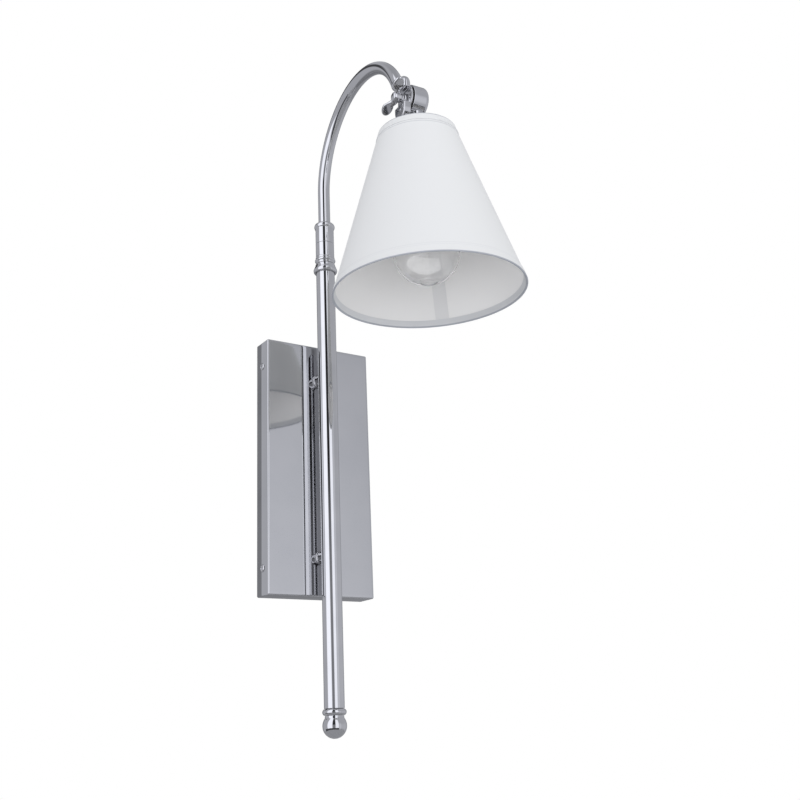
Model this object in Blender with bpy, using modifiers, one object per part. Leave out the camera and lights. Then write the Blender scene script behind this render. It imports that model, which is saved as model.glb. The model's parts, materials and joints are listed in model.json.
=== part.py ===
"""Swing arm wall sconce with a clamped tilting head, as an assembly of separate pieces.

A polished box on the wall holds a vertical stem on two standoffs. A hooked arm swings about the
stem's axis on a hollow pivot, and at its end a knuckle with a wing screw lets the lampholder,
bulb and cone shade tilt. Metres, +Z up. The origin is the centre of the box on the wall plane,
and the sconce stands off the wall toward -Y.
"""

import math

import bmesh
import bpy

# Wall box
BOX_WIDTH = 0.115
BOX_HEIGHT = 0.254
BOX_DEPTH = 0.024
BOX_WALL = 0.0012
BOX_EDGE = 0.0012
BRACKET_WIDTH = 0.1082
BRACKET_HEIGHT = 0.236
BRACKET_SHEET = 0.002
TAB_DEPTH = 0.020
TAB_HEIGHT = 0.016
COVER_SCREW_Z = 0.101
COVER_SCREW_Y = -0.012
BOX_SCREW_SPACING = 0.083
FEED_HOLE_Z = 0.012

# Stem and its standoffs
STEM_OFFSET = 0.042
STEM_RADIUS = 0.0095
STEM_WALL = 0.0014
STEM_BOTTOM = -0.2305
STEM_TOP = 0.2125
STANDOFF_Z = 0.090
STANDOFF_RADIUS = 0.0062
NIPPLE_RADIUS = 0.003
NIPPLE_BORE = 0.0019
LEAD_RADIUS = 0.0014

# Swivel between the stem and the arm
SEAM_Z = 0.2355
PIVOT_RADIUS = 0.0048
PIVOT_TOP = 0.248
COLLAR_TOP = 0.259

# Arm: straight up, then one arc over to the knuckle
ARM_YAW = math.radians(-4.0)
ARM_RADIUS = 0.0062
ARM_WALL = 0.0009
ARM_FOOT = 0.2505
ARM_BEND = 0.0863
ARM_BEND_Z = 0.2946
ARM_END = math.radians(22.0)
ARM_STEPS = 16

# Tilt hinge: its axis is horizontal, square to the arm's plane
HINGE_REACH = 0.1762
HINGE_Z = 0.3056
HINGE_SIDE = 0.004
DRUM_RADIUS = 0.0146
DRUM_LENGTH = 0.0165
DRUM_ROUND = 0.005
EAR_LEFT = -0.009
EAR_RIGHT = -0.0013
EAR_WEB = 0.0015
LUG_RADIUS = 0.009
LUG_CENTRE = 0.0125
LUG_FLAT = 0.0075
SHANK_RADIUS = 0.003
WING_ANGLE = math.radians(30.0)

# Lampholder, bulb and shade, on an axis that leans a little sideways under the drum
HEAD_SIDE = 0.0075
HEAD_LEAN = math.radians(-1.74)
NECK_RADIUS = 0.0072
NECK_BORE = 0.0042
HOLDER_RADIUS = 0.0182
HOLDER_FOOT = -0.099
BULB_RADIUS = 0.030
BULB_CENTRE = -0.1535
BULB_NECK = 0.0124
BASE_RADIUS = 0.0131
GLASS_WALL = 0.0009
SHADE_TOP = -0.0335
SHADE_HEIGHT = 0.159
SHADE_TOP_RADIUS = 0.036
SHADE_BOTTOM_RADIUS = 0.0866
SHADE_WALL = 0.001
TRIM_WALL = 0.0005
TRIM_WIDTH = 0.008
WIRE_RADIUS = 0.0011

GAP = 0.0003
ALONG_X = (0.0, math.pi / 2, 0.0)
ALONG_Y = (-math.pi / 2, 0.0, 0.0)
LARGE_STEPS = 36
STEPS = 20
SMALL_STEPS = 12
SCREW_STEPS = 10
TUBE_SIDES = 14


def clear_scene():
    for old in list(bpy.data.objects):
        bpy.data.objects.remove(old)


def new_collection(name):
    made = bpy.data.collections.new(name)
    bpy.context.scene.collection.children.link(made)
    return made


def new_material(name, colour, metallic, roughness, transmission=0.0):
    made = bpy.data.materials.new(name)
    made.use_nodes = True
    shader = made.node_tree.nodes["Principled BSDF"]
    shader.inputs["Base Color"].default_value = (*colour, 1.0)
    shader.inputs["Metallic"].default_value = metallic
    shader.inputs["Roughness"].default_value = roughness
    shader.inputs["Transmission Weight"].default_value = transmission
    return made


clear_scene()
PARTS = new_collection("swing_arm_wall_sconce")
CUTTERS = new_collection("cutters")

NICKEL = new_material("polished_nickel", (0.62, 0.62, 0.64), 1.0, 0.08)
STEEL = new_material("zinc_plated_steel", (0.55, 0.56, 0.58), 1.0, 0.35)
BRASS = new_material("brass", (0.75, 0.58, 0.28), 1.0, 0.3)
FABRIC = new_material("white_fabric", (0.86, 0.87, 0.89), 0.0, 0.9)
PHENOLIC = new_material("black_phenolic", (0.03, 0.03, 0.03), 0.0, 0.45)
PLASTIC = new_material("white_plastic", (0.85, 0.85, 0.83), 0.0, 0.4)
FIBRE = new_material("black_fibre", (0.06, 0.055, 0.05), 0.0, 0.7)
GLASS = new_material("clear_glass", (1.0, 1.0, 1.0), 0.0, 0.02, 1.0)
TUNGSTEN = new_material("tungsten", (0.25, 0.24, 0.23), 1.0, 0.4)
SLEEVE = new_material("lead_sleeve", (0.78, 0.77, 0.72), 0.0, 0.6)


def new_empty(name, parent=None, location=(0, 0, 0), rotation=(0, 0, 0)):
    made = bpy.data.objects.new(name, None)
    PARTS.objects.link(made)
    made.parent = parent
    made.location = location
    made.rotation_euler = rotation
    return made


def new_object(name, mesh, material, parent=None, location=(0, 0, 0), rotation=(0, 0, 0)):
    """A part when it has a material, and a hidden wire cutter when it has none."""
    made = bpy.data.objects.new(name, mesh)
    if material:
        PARTS.objects.link(made)
        mesh.materials.append(material)
    else:
        CUTTERS.objects.link(made)
        made.hide_render = True
        made.display_type = "WIRE"
    made.parent = parent
    made.location = location
    made.rotation_euler = rotation
    return made


def settle(obj):
    """Put the evaluated mesh in place of the modifiers, smooth but with its corners sharp."""
    bpy.context.view_layer.update()
    graph = bpy.context.evaluated_depsgraph_get()
    mesh = bpy.data.meshes.new_from_object(obj.evaluated_get(graph))
    obj.modifiers.clear()
    obj.data = mesh
    mesh.shade_smooth()
    mesh.set_sharp_from_angle(angle=math.radians(32.0))
    return obj


def turned(name, profile, material, parent=None, location=(0, 0, 0), rotation=(0, 0, 0), steps=STEPS):
    """A turned piece: (radius, height) points down the outer side, then up the bore if it has one."""
    mesh = bpy.data.meshes.new(name)
    points = [(radius, 0.0, height) for radius, height in profile]
    edges = [(i, i + 1) for i in range(len(points) - 1)]
    if profile[0][0] > 0.0:
        edges.append((len(points) - 1, 0))
    mesh.from_pydata(points, edges, [])
    made = new_object(name, mesh, material, parent, location, rotation)
    screw = made.modifiers.new("turn", "SCREW")
    screw.axis = "Z"
    screw.steps = steps
    screw.render_steps = steps
    screw.use_merge_vertices = True
    screw.merge_threshold = 1e-6
    return settle(made)


def ring_profile(outer, inner, top, bottom):
    return [(outer, top), (outer, bottom), (inner, bottom), (inner, top)]


def rod_profile(radius, top, bottom):
    return [(0.0, top), (radius, top), (radius, bottom), (0.0, bottom)]


def arc(centre, radius, start, end, count):
    """Points on an arc of (radius, height), from one angle to another in degrees."""
    points = []
    for i in range(count + 1):
        angle = math.radians(start + (end - start) * i / count)
        points.append((centre[0] + radius * math.cos(angle), centre[1] + radius * math.sin(angle)))
    return points


def box(name, size, centre, material=None, parent=None, rotation=(0, 0, 0)):
    mesh = bpy.data.meshes.new(name)
    build = bmesh.new()
    bmesh.ops.create_cube(build, size=1.0)
    bmesh.ops.scale(build, vec=size, verts=build.verts)
    build.to_mesh(mesh)
    build.free()
    return new_object(name, mesh, material, parent, centre, rotation)


def rod(name, radius, length, centre, rotation=(0, 0, 0), parent=None, steps=SMALL_STEPS, material=None):
    """A plain cylinder about its own Z, centred on its middle."""
    mesh = bpy.data.meshes.new(name)
    build = bmesh.new()
    bmesh.ops.create_cone(
        build, cap_ends=True, segments=steps, radius1=radius, radius2=radius, depth=length
    )
    build.to_mesh(mesh)
    build.free()
    return new_object(name, mesh, material, parent, centre, rotation)


def slab(name, outline, thickness, bevel, parent, location=(0, 0, 0), rotation=(0, 0, 0)):
    """A plate from an outline in its own XY plane, with softened edges, as a hidden building block."""
    mesh = bpy.data.meshes.new(name)
    build = bmesh.new()
    face = build.faces.new([build.verts.new((x, y, -thickness / 2)) for x, y in outline])
    grown = bmesh.ops.extrude_face_region(build, geom=[face])
    top = [item for item in grown["geom"] if isinstance(item, bmesh.types.BMVert)]
    bmesh.ops.translate(build, vec=(0, 0, thickness), verts=top)
    bmesh.ops.recalc_face_normals(build, faces=build.faces)
    build.to_mesh(mesh)
    build.free()
    made = new_object(name, mesh, None, parent, location, rotation)
    soften = made.modifiers.new("soften", "BEVEL")
    soften.width = bevel
    soften.segments = 2
    soften.limit_method = "ANGLE"
    soften.angle_limit = math.radians(50.0)
    return made


def boolean(obj, operation, *others):
    for other in others:
        cut = obj.modifiers.new(other.name, "BOOLEAN")
        cut.operation = operation
        cut.solver = "EXACT"
        cut.object = other
    return obj


def hex_nut(name, radius, bore, height, parent, centre, rotation=(0, 0, 0)):
    """A six-sided nut about its own Z, centred on its middle, with a round bore."""
    nut = rod(name, radius, height, centre, rotation, parent, 6, STEEL)
    hole = rod(name + "_bore", bore, 2 * height, centre, rotation, parent)
    boolean(nut, "DIFFERENCE", hole)
    return settle(nut)


def curve_mesh(name, points, radius, sides, closed=False):
    """The mesh of a round wire or tube along the points, with welded caps."""
    curve = bpy.data.curves.new(name, "CURVE")
    curve.dimensions = "3D"
    curve.bevel_depth = radius
    curve.bevel_resolution = sides // 2 - 2
    curve.use_fill_caps = not closed
    spline = curve.splines.new("POLY")
    spline.points.add(len(points) - 1)
    for spot, place in zip(spline.points, points):
        spot.co = (*place, 1.0)
    spline.use_cyclic_u = closed
    guide = bpy.data.objects.new(name + "_guide", curve)
    CUTTERS.objects.link(guide)
    bpy.context.view_layer.update()
    graph = bpy.context.evaluated_depsgraph_get()
    mesh = bpy.data.meshes.new_from_object(guide.evaluated_get(graph))
    bpy.data.objects.remove(guide)
    build = bmesh.new()
    build.from_mesh(mesh)
    bmesh.ops.remove_doubles(build, verts=build.verts, dist=1e-6)
    bmesh.ops.recalc_face_normals(build, faces=build.faces)
    build.to_mesh(mesh)
    build.free()
    mesh.shade_smooth()
    return mesh


def wire(name, points, radius, material, parent=None, sides=8, closed=False):
    return new_object(name, curve_mesh(name, points, radius, sides, closed), material, parent)


# ---------------------------------------------------------------- wall box


def add_bracket():
    """Steel plate on the wall, with four tabs that the cover is screwed to."""
    plate = box(
        "mounting_bracket",
        (BRACKET_WIDTH, BRACKET_SHEET, BRACKET_HEIGHT),
        (0, -BRACKET_SHEET / 2, 0),
        STEEL,
    )
    tabs = []
    holes = []
    for side in (-1, 1):
        for level in (-1, 1):
            x = side * (BRACKET_WIDTH - BRACKET_SHEET) / 2
            z = level * COVER_SCREW_Z
            tabs.append(box("tab", (BRACKET_SHEET, TAB_DEPTH, TAB_HEIGHT), (x, -TAB_DEPTH / 2, z)))
            holes.append(rod("tab_hole", 0.0018, 0.006, (x, COVER_SCREW_Y, z), ALONG_X))
    for level in (-1, 1):
        z = level * BOX_SCREW_SPACING / 2
        holes.append(box("wall_slot", (0.018, 0.01, 0.005), (0, -BRACKET_SHEET / 2, z)))
        holes.append(rod("wall_hole", 0.0025, 0.01, (0, -BRACKET_SHEET / 2, 2.6 * z), ALONG_Y))
    holes.append(rod("feed_hole", 0.008, 0.01, (0.024, -BRACKET_SHEET / 2, FEED_HOLE_Z), ALONG_Y))
    holes.append(rod("earth_hole", 0.0022, 0.01, (0.024, -BRACKET_SHEET / 2, -0.02), ALONG_Y))
    boolean(plate, "UNION", *tabs)
    boolean(plate, "DIFFERENCE", *holes)
    settle(plate)


def add_cover():
    """Polished sheet box, open at the wall."""
    mesh = bpy.data.meshes.new("backplate_cover")
    build = bmesh.new()
    bmesh.ops.create_cube(build, size=1.0)
    bmesh.ops.scale(build, vec=(BOX_WIDTH, BOX_DEPTH, BOX_HEIGHT), verts=build.verts)
    back = [face for face in build.faces if face.normal.y > 0.5]
    bmesh.ops.delete(build, geom=back, context="FACES_ONLY")
    build.to_mesh(mesh)
    build.free()
    cover = new_object("backplate_cover", mesh, NICKEL, None, (0, -BOX_DEPTH / 2, 0))
    round_edges = cover.modifiers.new("edges", "BEVEL")
    round_edges.width = BOX_EDGE
    round_edges.segments = 3
    sheet = cover.modifiers.new("sheet", "SOLIDIFY")
    sheet.thickness = BOX_WALL
    sheet.offset = -1.0
    sheet.use_even_offset = True
    holes = []
    for level in (-1, 1):
        holes.append(
            rod("standoff_hole", NIPPLE_RADIUS + GAP, 0.01, (0, -BOX_DEPTH, level * STANDOFF_Z), ALONG_Y)
        )
        for side in (-1, 1):
            place = (side * BOX_WIDTH / 2, COVER_SCREW_Y, level * COVER_SCREW_Z)
            holes.append(rod("cover_screw_hole", 0.0018, 0.01, place, ALONG_X))
    boolean(cover, "DIFFERENCE", *holes)
    settle(cover)


def add_cover_screws():
    """Four round-head screws with a cross recess, through the box's sides into the tabs."""
    head = [(0.0, 0.0018)] + arc((0.0, -0.0019), 0.0037, 72, 31, 3)
    head += [(0.0034, 0.0), (0.0015, 0.0), (0.0015, -0.0085), (0.0, -0.0085)]
    pattern = turned("cover_screw", head, None, steps=SCREW_STEPS)
    slots = [
        box("slot", (0.0008, 0.0036, 0.0018), (0, 0, 0.0018)),
        box("slot", (0.0036, 0.0008, 0.0018), (0, 0, 0.0018)),
    ]
    boolean(pattern, "DIFFERENCE", *slots)
    settle(pattern)
    mesh = pattern.data
    bpy.data.objects.remove(pattern)
    mesh.materials.clear()
    mesh.materials.append(NICKEL)
    for side, side_name in ((-1, "left"), (1, "right")):
        for level, level_name in ((-1, "lower"), (1, "upper")):
            screw = bpy.data.objects.new(f"cover_screw_{level_name}_{side_name}", mesh)
            PARTS.objects.link(screw)
            place = side * (BOX_WIDTH / 2 + GAP)
            screw.location = (place, COVER_SCREW_Y, level * COVER_SCREW_Z)
            screw.rotation_euler = (0, side * math.pi / 2, 0)


def add_wiring():
    """Terminal block, earth screw and the lead that runs from the box up inside the stem."""
    box("terminal_block", (0.026, 0.011, 0.013), (-0.0262, -0.0081, 0.030), PLASTIC)
    earth = [(0.0, 0.002), (0.0032, 0.0016), (0.0032, 0.0), (0.0019, 0.0), (0.0019, -0.0028), (0.0, -0.0028)]
    turned("earth_screw", earth, BRASS, None, (0.024, -0.0023, -0.02), (math.pi / 2, 0, 0), SCREW_STEPS)
    route = [
        (-0.0105, -0.0085, 0.0300),
        (-0.0060, -0.0095, 0.0400),
        (-0.0020, -0.0100, 0.0560),
        (0.0000, -0.0095, 0.0720),
        (0.0000, -0.0105, 0.0820),
        (0.0000, -0.0130, 0.0878),
        (0.0000, -0.0168, STANDOFF_Z),
        (0.0000, -0.0358, STANDOFF_Z),
        (0.0000, -0.0396, 0.0922),
        (0.0000, -0.0414, 0.0960),
        (0.0000, -STEM_OFFSET, 0.1020),
        (0.0000, -STEM_OFFSET, 0.1600),
        (0.0000, -STEM_OFFSET, PIVOT_TOP + GAP),
    ]
    wire("stem_lead", route, LEAD_RADIUS, SLEEVE)


# ---------------------------------------------------------------- stem


def add_standoffs():
    """Two short posts between the box and the stem, each on a hollow threaded nipple and a nut."""
    foot = -BOX_DEPTH - GAP
    for level, level_name in ((-1, "lower"), (1, "upper")):
        z = level * STANDOFF_Z
        bore = NIPPLE_RADIUS + GAP
        profile = [
            (0.0074, 0.0),
            (0.0074, -0.0012),
            (STANDOFF_RADIUS, -0.0018),
            (STANDOFF_RADIUS, -0.013),
            (bore, -0.013),
            (bore, 0.0),
        ]
        post = turned(
            f"standoff_{level_name}", profile, NICKEL, None, (0, foot, z), (-math.pi / 2, 0, 0), STEPS
        )
        saddle = rod("saddle", STEM_RADIUS + GAP, 0.04, (0, -STEM_OFFSET, z), steps=STEPS)
        boolean(post, "DIFFERENCE", saddle)
        settle(post)
        pipe = ring_profile(NIPPLE_RADIUS, NIPPLE_BORE, 0.018, 0.0)
        to_wall = (math.pi / 2, 0, 0)
        nipple_end = (0, -0.0175, z)
        turned(f"standoff_nipple_{level_name}", pipe, STEEL, None, nipple_end, to_wall, SMALL_STEPS)
        seat = -BOX_DEPTH + BOX_WALL + GAP
        hex_nut(f"standoff_nut_{level_name}", 0.0055, bore, 0.003, None, (0, seat + 0.0015, z), ALONG_Y)


def add_stem():
    stem = turned(
        "stem_tube",
        ring_profile(STEM_RADIUS, STEM_RADIUS - STEM_WALL, STEM_TOP, STEM_BOTTOM),
        NICKEL,
        None,
        (0, -STEM_OFFSET, 0),
    )
    holes = []
    for level in (-1, 1):
        centre = (0, STEM_RADIUS - STEM_OFFSET, level * STANDOFF_Z)
        holes.append(rod("nipple_hole", NIPPLE_RADIUS + GAP, 0.008, centre, ALONG_Y))
    boolean(stem, "DIFFERENCE", *holes)
    settle(stem)


def add_finial():
    """Bead and ball that close the stem's foot, on a stud that screws into a plug."""
    place = (0, -STEM_OFFSET, 0)
    plug_radius = STEM_RADIUS - STEM_WALL - GAP
    turned("stem_plug", ring_profile(plug_radius, 0.0043, -0.216, STEM_BOTTOM), STEEL, None, place)
    top = STEM_BOTTOM - GAP
    bead = [(0.0088, top)] + arc((0.0079, -0.2337), 0.0032, 55, -62, 5) + [(0.0043, -0.2366), (0.0043, top)]
    turned("finial_bead", bead, NICKEL, None, place)
    ball_top = -0.2369
    ball = [(0.0, -0.221), (0.004, -0.221), (0.004, ball_top), (0.0088, ball_top), (0.0088, -0.2378)]
    ball += arc((0.0, -0.2457), 0.0112, 38, -90, 9)
    turned("finial_ball", ball, NICKEL, None, place)


def add_swivel_foot():
    """Bell, fixed collar and hollow pivot at the stem's top, and the nut that keeps the arm on it."""
    place = (0, -STEM_OFFSET, 0)
    slip = STEM_RADIUS + GAP
    bell = [(0.0101, 0.2122), (0.0103, 0.2110), (0.0112, 0.2085), (0.0121, 0.2066), (0.0122, 0.2052)]
    bell += [(0.0116, 0.2034), (0.0108, 0.2028), (slip, 0.2030), (slip, 0.2122)]
    turned("stem_bell", bell, NICKEL, None, place)
    bore = PIVOT_RADIUS + GAP
    spigot = STEM_RADIUS - STEM_WALL - GAP
    collar = [(STEM_RADIUS, SEAM_Z - GAP / 2), (STEM_RADIUS, 0.2204), (0.0100, 0.2200)]
    collar += arc((0.0086, 0.2167), 0.0019, 60, -60, 4)
    collar += [(0.0093, STEM_TOP + GAP), (spigot, STEM_TOP + GAP), (spigot, 0.2000)]
    collar += [(0.0071, 0.2000), (0.0071, 0.2212), (bore, 0.2212), (bore, SEAM_Z - GAP / 2)]
    turned("stem_collar", collar, NICKEL, None, place)
    pivot = [(PIVOT_RADIUS, PIVOT_TOP), (PIVOT_RADIUS, 0.2209), (0.0067, 0.2209), (0.0067, 0.2180)]
    pivot += [(0.0026, 0.2180), (0.0026, PIVOT_TOP)]
    turned("pivot_tube", pivot, STEEL, None, place, steps=SMALL_STEPS)
    hex_nut("pivot_nut", 0.0072, bore, 0.003, None, (0, -STEM_OFFSET, 0.2453))


# ---------------------------------------------------------------- arm


def add_swivel_head(arm):
    """Turning collar with a bead and a shoulder that the arm's tube stands in, and its washer."""
    bore = PIVOT_RADIUS + GAP
    sleeve = ARM_RADIUS + GAP
    collar = [(sleeve, COLLAR_TOP + 0.0002), (0.0072, COLLAR_TOP)]
    collar += arc((0.0072, 0.2552), 0.0035, 80, -45, 5)
    collar += [(STEM_RADIUS, 0.2518), (STEM_RADIUS, SEAM_Z + GAP / 2), (bore, SEAM_Z + GAP / 2)]
    collar += [(bore, 0.2420), (0.0082, 0.2420), (0.0082, 0.2500), (sleeve, 0.2500)]
    turned("swivel_collar", collar, NICKEL, arm)
    turned("swivel_washer", ring_profile(0.0078, bore, 0.2434, 0.2424), PLASTIC, arm, steps=SMALL_STEPS)


def arm_route(start, end):
    """Centre line in the arm's own frame: reach is -Y. The arc's angle falls from 180 degrees."""
    points = [(0.0, 0.0, start), (0.0, 0.0, (start + ARM_BEND_Z) / 2)]
    for i in range(ARM_STEPS + 1):
        angle = math.pi + (end - math.pi) * i / ARM_STEPS
        reach = ARM_BEND * (1.0 + math.cos(angle))
        points.append((0.0, -reach, ARM_BEND_Z + ARM_BEND * math.sin(angle)))
    return points


def add_arm_tube(arm):
    outer = arm_route(ARM_FOOT, ARM_END)
    tube = wire("arm_tube", outer, ARM_RADIUS, NICKEL, arm, sides=TUBE_SIDES)
    past = arm_route(ARM_FOOT - 0.01, ARM_END - math.radians(6.0))
    bore = wire("arm_bore", past, ARM_RADIUS - ARM_WALL, None, arm, sides=TUBE_SIDES)
    boolean(tube, "DIFFERENCE", bore)
    settle(tube)
    lead = arm_route(PIVOT_TOP + 0.0009, ARM_END + math.radians(9.0))
    wire("arm_lead", lead, LEAD_RADIUS, SLEEVE, arm)


def lug_outline():
    """Half-round end with a flat foot, about the centre of its round."""
    foot = LUG_CENTRE - LUG_FLAT
    return arc((0.0, 0.0), LUG_RADIUS, 0, 180, 10) + [(-LUG_RADIUS, -foot), (LUG_RADIUS, -foot)]


def add_ear(ear):
    """The arm's half of the knuckle: a thin disc with a thick lug above and below the screw."""
    web_centre = EAR_RIGHT - EAR_WEB / 2
    web = rod("arm_ear", 0.0134, EAR_WEB, (web_centre, 0, 0), ALONG_X, ear, STEPS, NICKEL)
    thickness = EAR_RIGHT - EAR_LEFT
    middle = (EAR_LEFT + EAR_RIGHT) / 2
    upper = slab(
        "upper_lug", lug_outline(), thickness, 0.0018, ear, (middle, -0.0015, LUG_CENTRE),
        (math.pi / 2, 0, math.pi / 2),
    )
    lower = slab(
        "lower_lug", lug_outline(), thickness, 0.0012, ear, (middle, 0, -LUG_CENTRE),
        (-math.pi / 2, 0, math.pi / 2),
    )
    settle(upper)
    settle(lower)
    last_step = ARM_END + (math.pi - ARM_END) / ARM_STEPS / 2
    reach = ARM_BEND * (1.0 + math.cos(ARM_END)) - HINGE_REACH
    height = ARM_BEND_Z + ARM_BEND * math.sin(ARM_END) - HINGE_Z
    spigot = ARM_RADIUS - ARM_WALL - 0.0006
    stalk = [(0.0, 0.005), (spigot, 0.005), (spigot, -GAP), (ARM_RADIUS, -GAP)]
    stalk += [(ARM_RADIUS, -0.0022), (0.0052, -0.0046), (0.0036, -0.0075), (0.0, -0.0075)]
    neck = turned(
        "stalk", stalk, None, ear, (-HINGE_SIDE, -reach, height), (-last_step, 0, 0), SMALL_STEPS
    )
    boolean(web, "UNION", upper, lower, neck)
    holes = [
        rod("screw_hole", SHANK_RADIUS + GAP, 0.02, (-0.002, 0, 0), ALONG_X, ear),
        rod("ear_screw_hole", 0.0023, 0.0078, (EAR_LEFT, 0, -LUG_CENTRE), ALONG_X, ear, 16),
    ]
    boolean(web, "DIFFERENCE", *holes)
    settle(web)
    turned(
        "ear_screw",
        [(0.0, 0.0), (0.0009, 0.0), (0.0009, 0.0012), (0.0016, 0.0012), (0.0019, 0.0009)]
        + [(0.0019, -0.0023), (0.0, -0.0023)],
        STEEL,
        ear,
        (EAR_LEFT + 0.0012, 0, -LUG_CENTRE),
        (0, -math.pi / 2, 0),
        SCREW_STEPS,
    )
    washer = ring_profile(0.0125, SHANK_RADIUS + GAP, 0.0008, 0.0)
    turned("friction_washer", washer, FIBRE, ear, (-0.001, 0, 0), ALONG_X, STEPS)


# ---------------------------------------------------------------- wing screw


def add_wing_screw(tilt):
    """Barrel with a flange, a shank through the knuckle, and two leaning wings."""
    barrel = [(0.0, -0.0160), (0.0030, -0.0157), (0.0044, -0.0146), (0.0047, -0.0130), (0.0047, -0.0078)]
    barrel += [(0.0043, -0.0068), (0.0054, -0.0050), (0.0054, -0.0031)]
    barrel += [(SHANK_RADIUS, -0.0031), (SHANK_RADIUS, 0.0095), (0.0, 0.0095)]
    screw = turned("wing_screw", barrel[::-1], NICKEL, tilt, (0, 0, 0), ALONG_X, SMALL_STEPS)
    tip = (-0.0152, 0.0122)
    outline = [(-0.0085, 0.0030), (-0.0092, 0.0065), (-0.0107, 0.0100)]
    outline += arc(tip, 0.0044, -10, 175, 7)
    outline += [(-0.0182, 0.0085), (-0.0150, 0.0060), (-0.0138, 0.0030)]
    wings = []
    for turn in (0.0, math.pi):
        wing = slab("wing", outline, 0.0024, 0.0006, tilt, (0, 0, 0), (math.pi / 2 - WING_ANGLE + turn, 0, 0))
        wings.append(settle(wing))
    boolean(screw, "UNION", *wings)
    settle(screw)


# ---------------------------------------------------------------- head


def add_drum(tilt, head):
    """The head's half of the knuckle: a hollow drum with a neck down to the socket cap."""
    start = 0.0001
    end = DRUM_LENGTH
    bore = SHANK_RADIUS + GAP
    profile = [(0.0, end)] + arc((DRUM_RADIUS - DRUM_ROUND, end - DRUM_ROUND), DRUM_ROUND, 90, 0, 5)
    profile += [(DRUM_RADIUS, start + 0.0005), (DRUM_RADIUS - 0.0005, start), (bore, start)]
    profile += [(bore, 0.0024), (0.0121, 0.0024), (0.0121, 0.0105), (0.0095, 0.0138), (0.0, 0.0138)]
    drum = turned("knuckle_drum", profile, NICKEL, tilt, (0, 0, 0), ALONG_X)
    neck = rod("neck", NECK_RADIUS, 0.0105, (0, 0, -0.01875), parent=head)
    hole = rod("neck_bore", NECK_BORE, 0.022, (0, 0, -0.0190), parent=head)
    boolean(drum, "UNION", neck)
    boolean(drum, "DIFFERENCE", hole)
    settle(drum)
    hex_nut("knuckle_nut", 0.0070, bore, 0.0048, tilt, (0.0051, 0, 0), ALONG_X)


def add_lampholder(head):
    nipple = ring_profile(0.0039, 0.0025, -0.0160, -0.0300)
    turned("cap_nipple", nipple, STEEL, head, steps=SMALL_STEPS)
    cap = [(0.0078, -0.0243), (0.0110, -0.0250), (0.0160, -0.0290), (0.0190, -0.0350), (0.0198, -0.0420)]
    cap += [(0.0198, -0.0480), (0.0186, -0.0480), (0.0186, -0.0424), (0.0178, -0.0356), (0.0150, -0.0300)]
    cap += [(0.0105, -0.0262), (0.0078, -0.0255), (NECK_BORE, -0.0255), (NECK_BORE, -0.0243)]
    turned("socket_cap", cap, NICKEL, head)
    flange = 0.0204
    seat = -0.0600
    holder = [(0.0, -0.0400), (0.0165, -0.0400), (HOLDER_RADIUS, -0.0430), (HOLDER_RADIUS, seat + 0.0022)]
    holder += [(flange, seat + 0.0022), (flange, seat), (HOLDER_RADIUS, seat), (HOLDER_RADIUS, HOLDER_FOOT)]
    holder += [(0.0145, HOLDER_FOOT), (0.0145, -0.0700), (0.0, -0.0700)]
    turned("lampholder", holder, PHENOLIC, head)
    turned("screw_shell", ring_profile(0.0142, 0.0136, -0.0740, -0.0970), BRASS, head)
    turned("centre_contact", rod_profile(0.0032, -0.0703, -0.0742), BRASS, head, steps=SCREW_STEPS)
    slip = HOLDER_RADIUS + GAP
    nut = [(0.0214, -0.0620), (0.0226, -0.0650), (0.0226, -0.0700), (0.0214, -0.0712)]
    turned("shade_ring_nut", nut + [(slip, -0.0712), (slip, -0.0620)], PHENOLIC, head)
    lead = [(0, 0, -0.0130), (0, 0, -0.0220), (0, 0, -0.0310), (0, 0, -0.0397)]
    wire("head_lead", lead, LEAD_RADIUS, SLEEVE, head)


def shade_radius(height, inset=0.0):
    """The shade's outer radius at a height under the hinge, less an inset square to the cone."""
    slope = (SHADE_BOTTOM_RADIUS - SHADE_TOP_RADIUS) / SHADE_HEIGHT
    radius = SHADE_TOP_RADIUS + slope * (SHADE_TOP - height)
    return radius - inset * math.hypot(1.0, slope)


def band_profile(top, bottom, outer, inner):
    """A cone-shaped band between two heights and two insets from the shade's outer face."""
    return [
        (shade_radius(top, outer), top),
        (shade_radius(bottom, outer), bottom),
        (shade_radius(bottom, inner), bottom),
        (shade_radius(top, inner), top),
    ]


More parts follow.
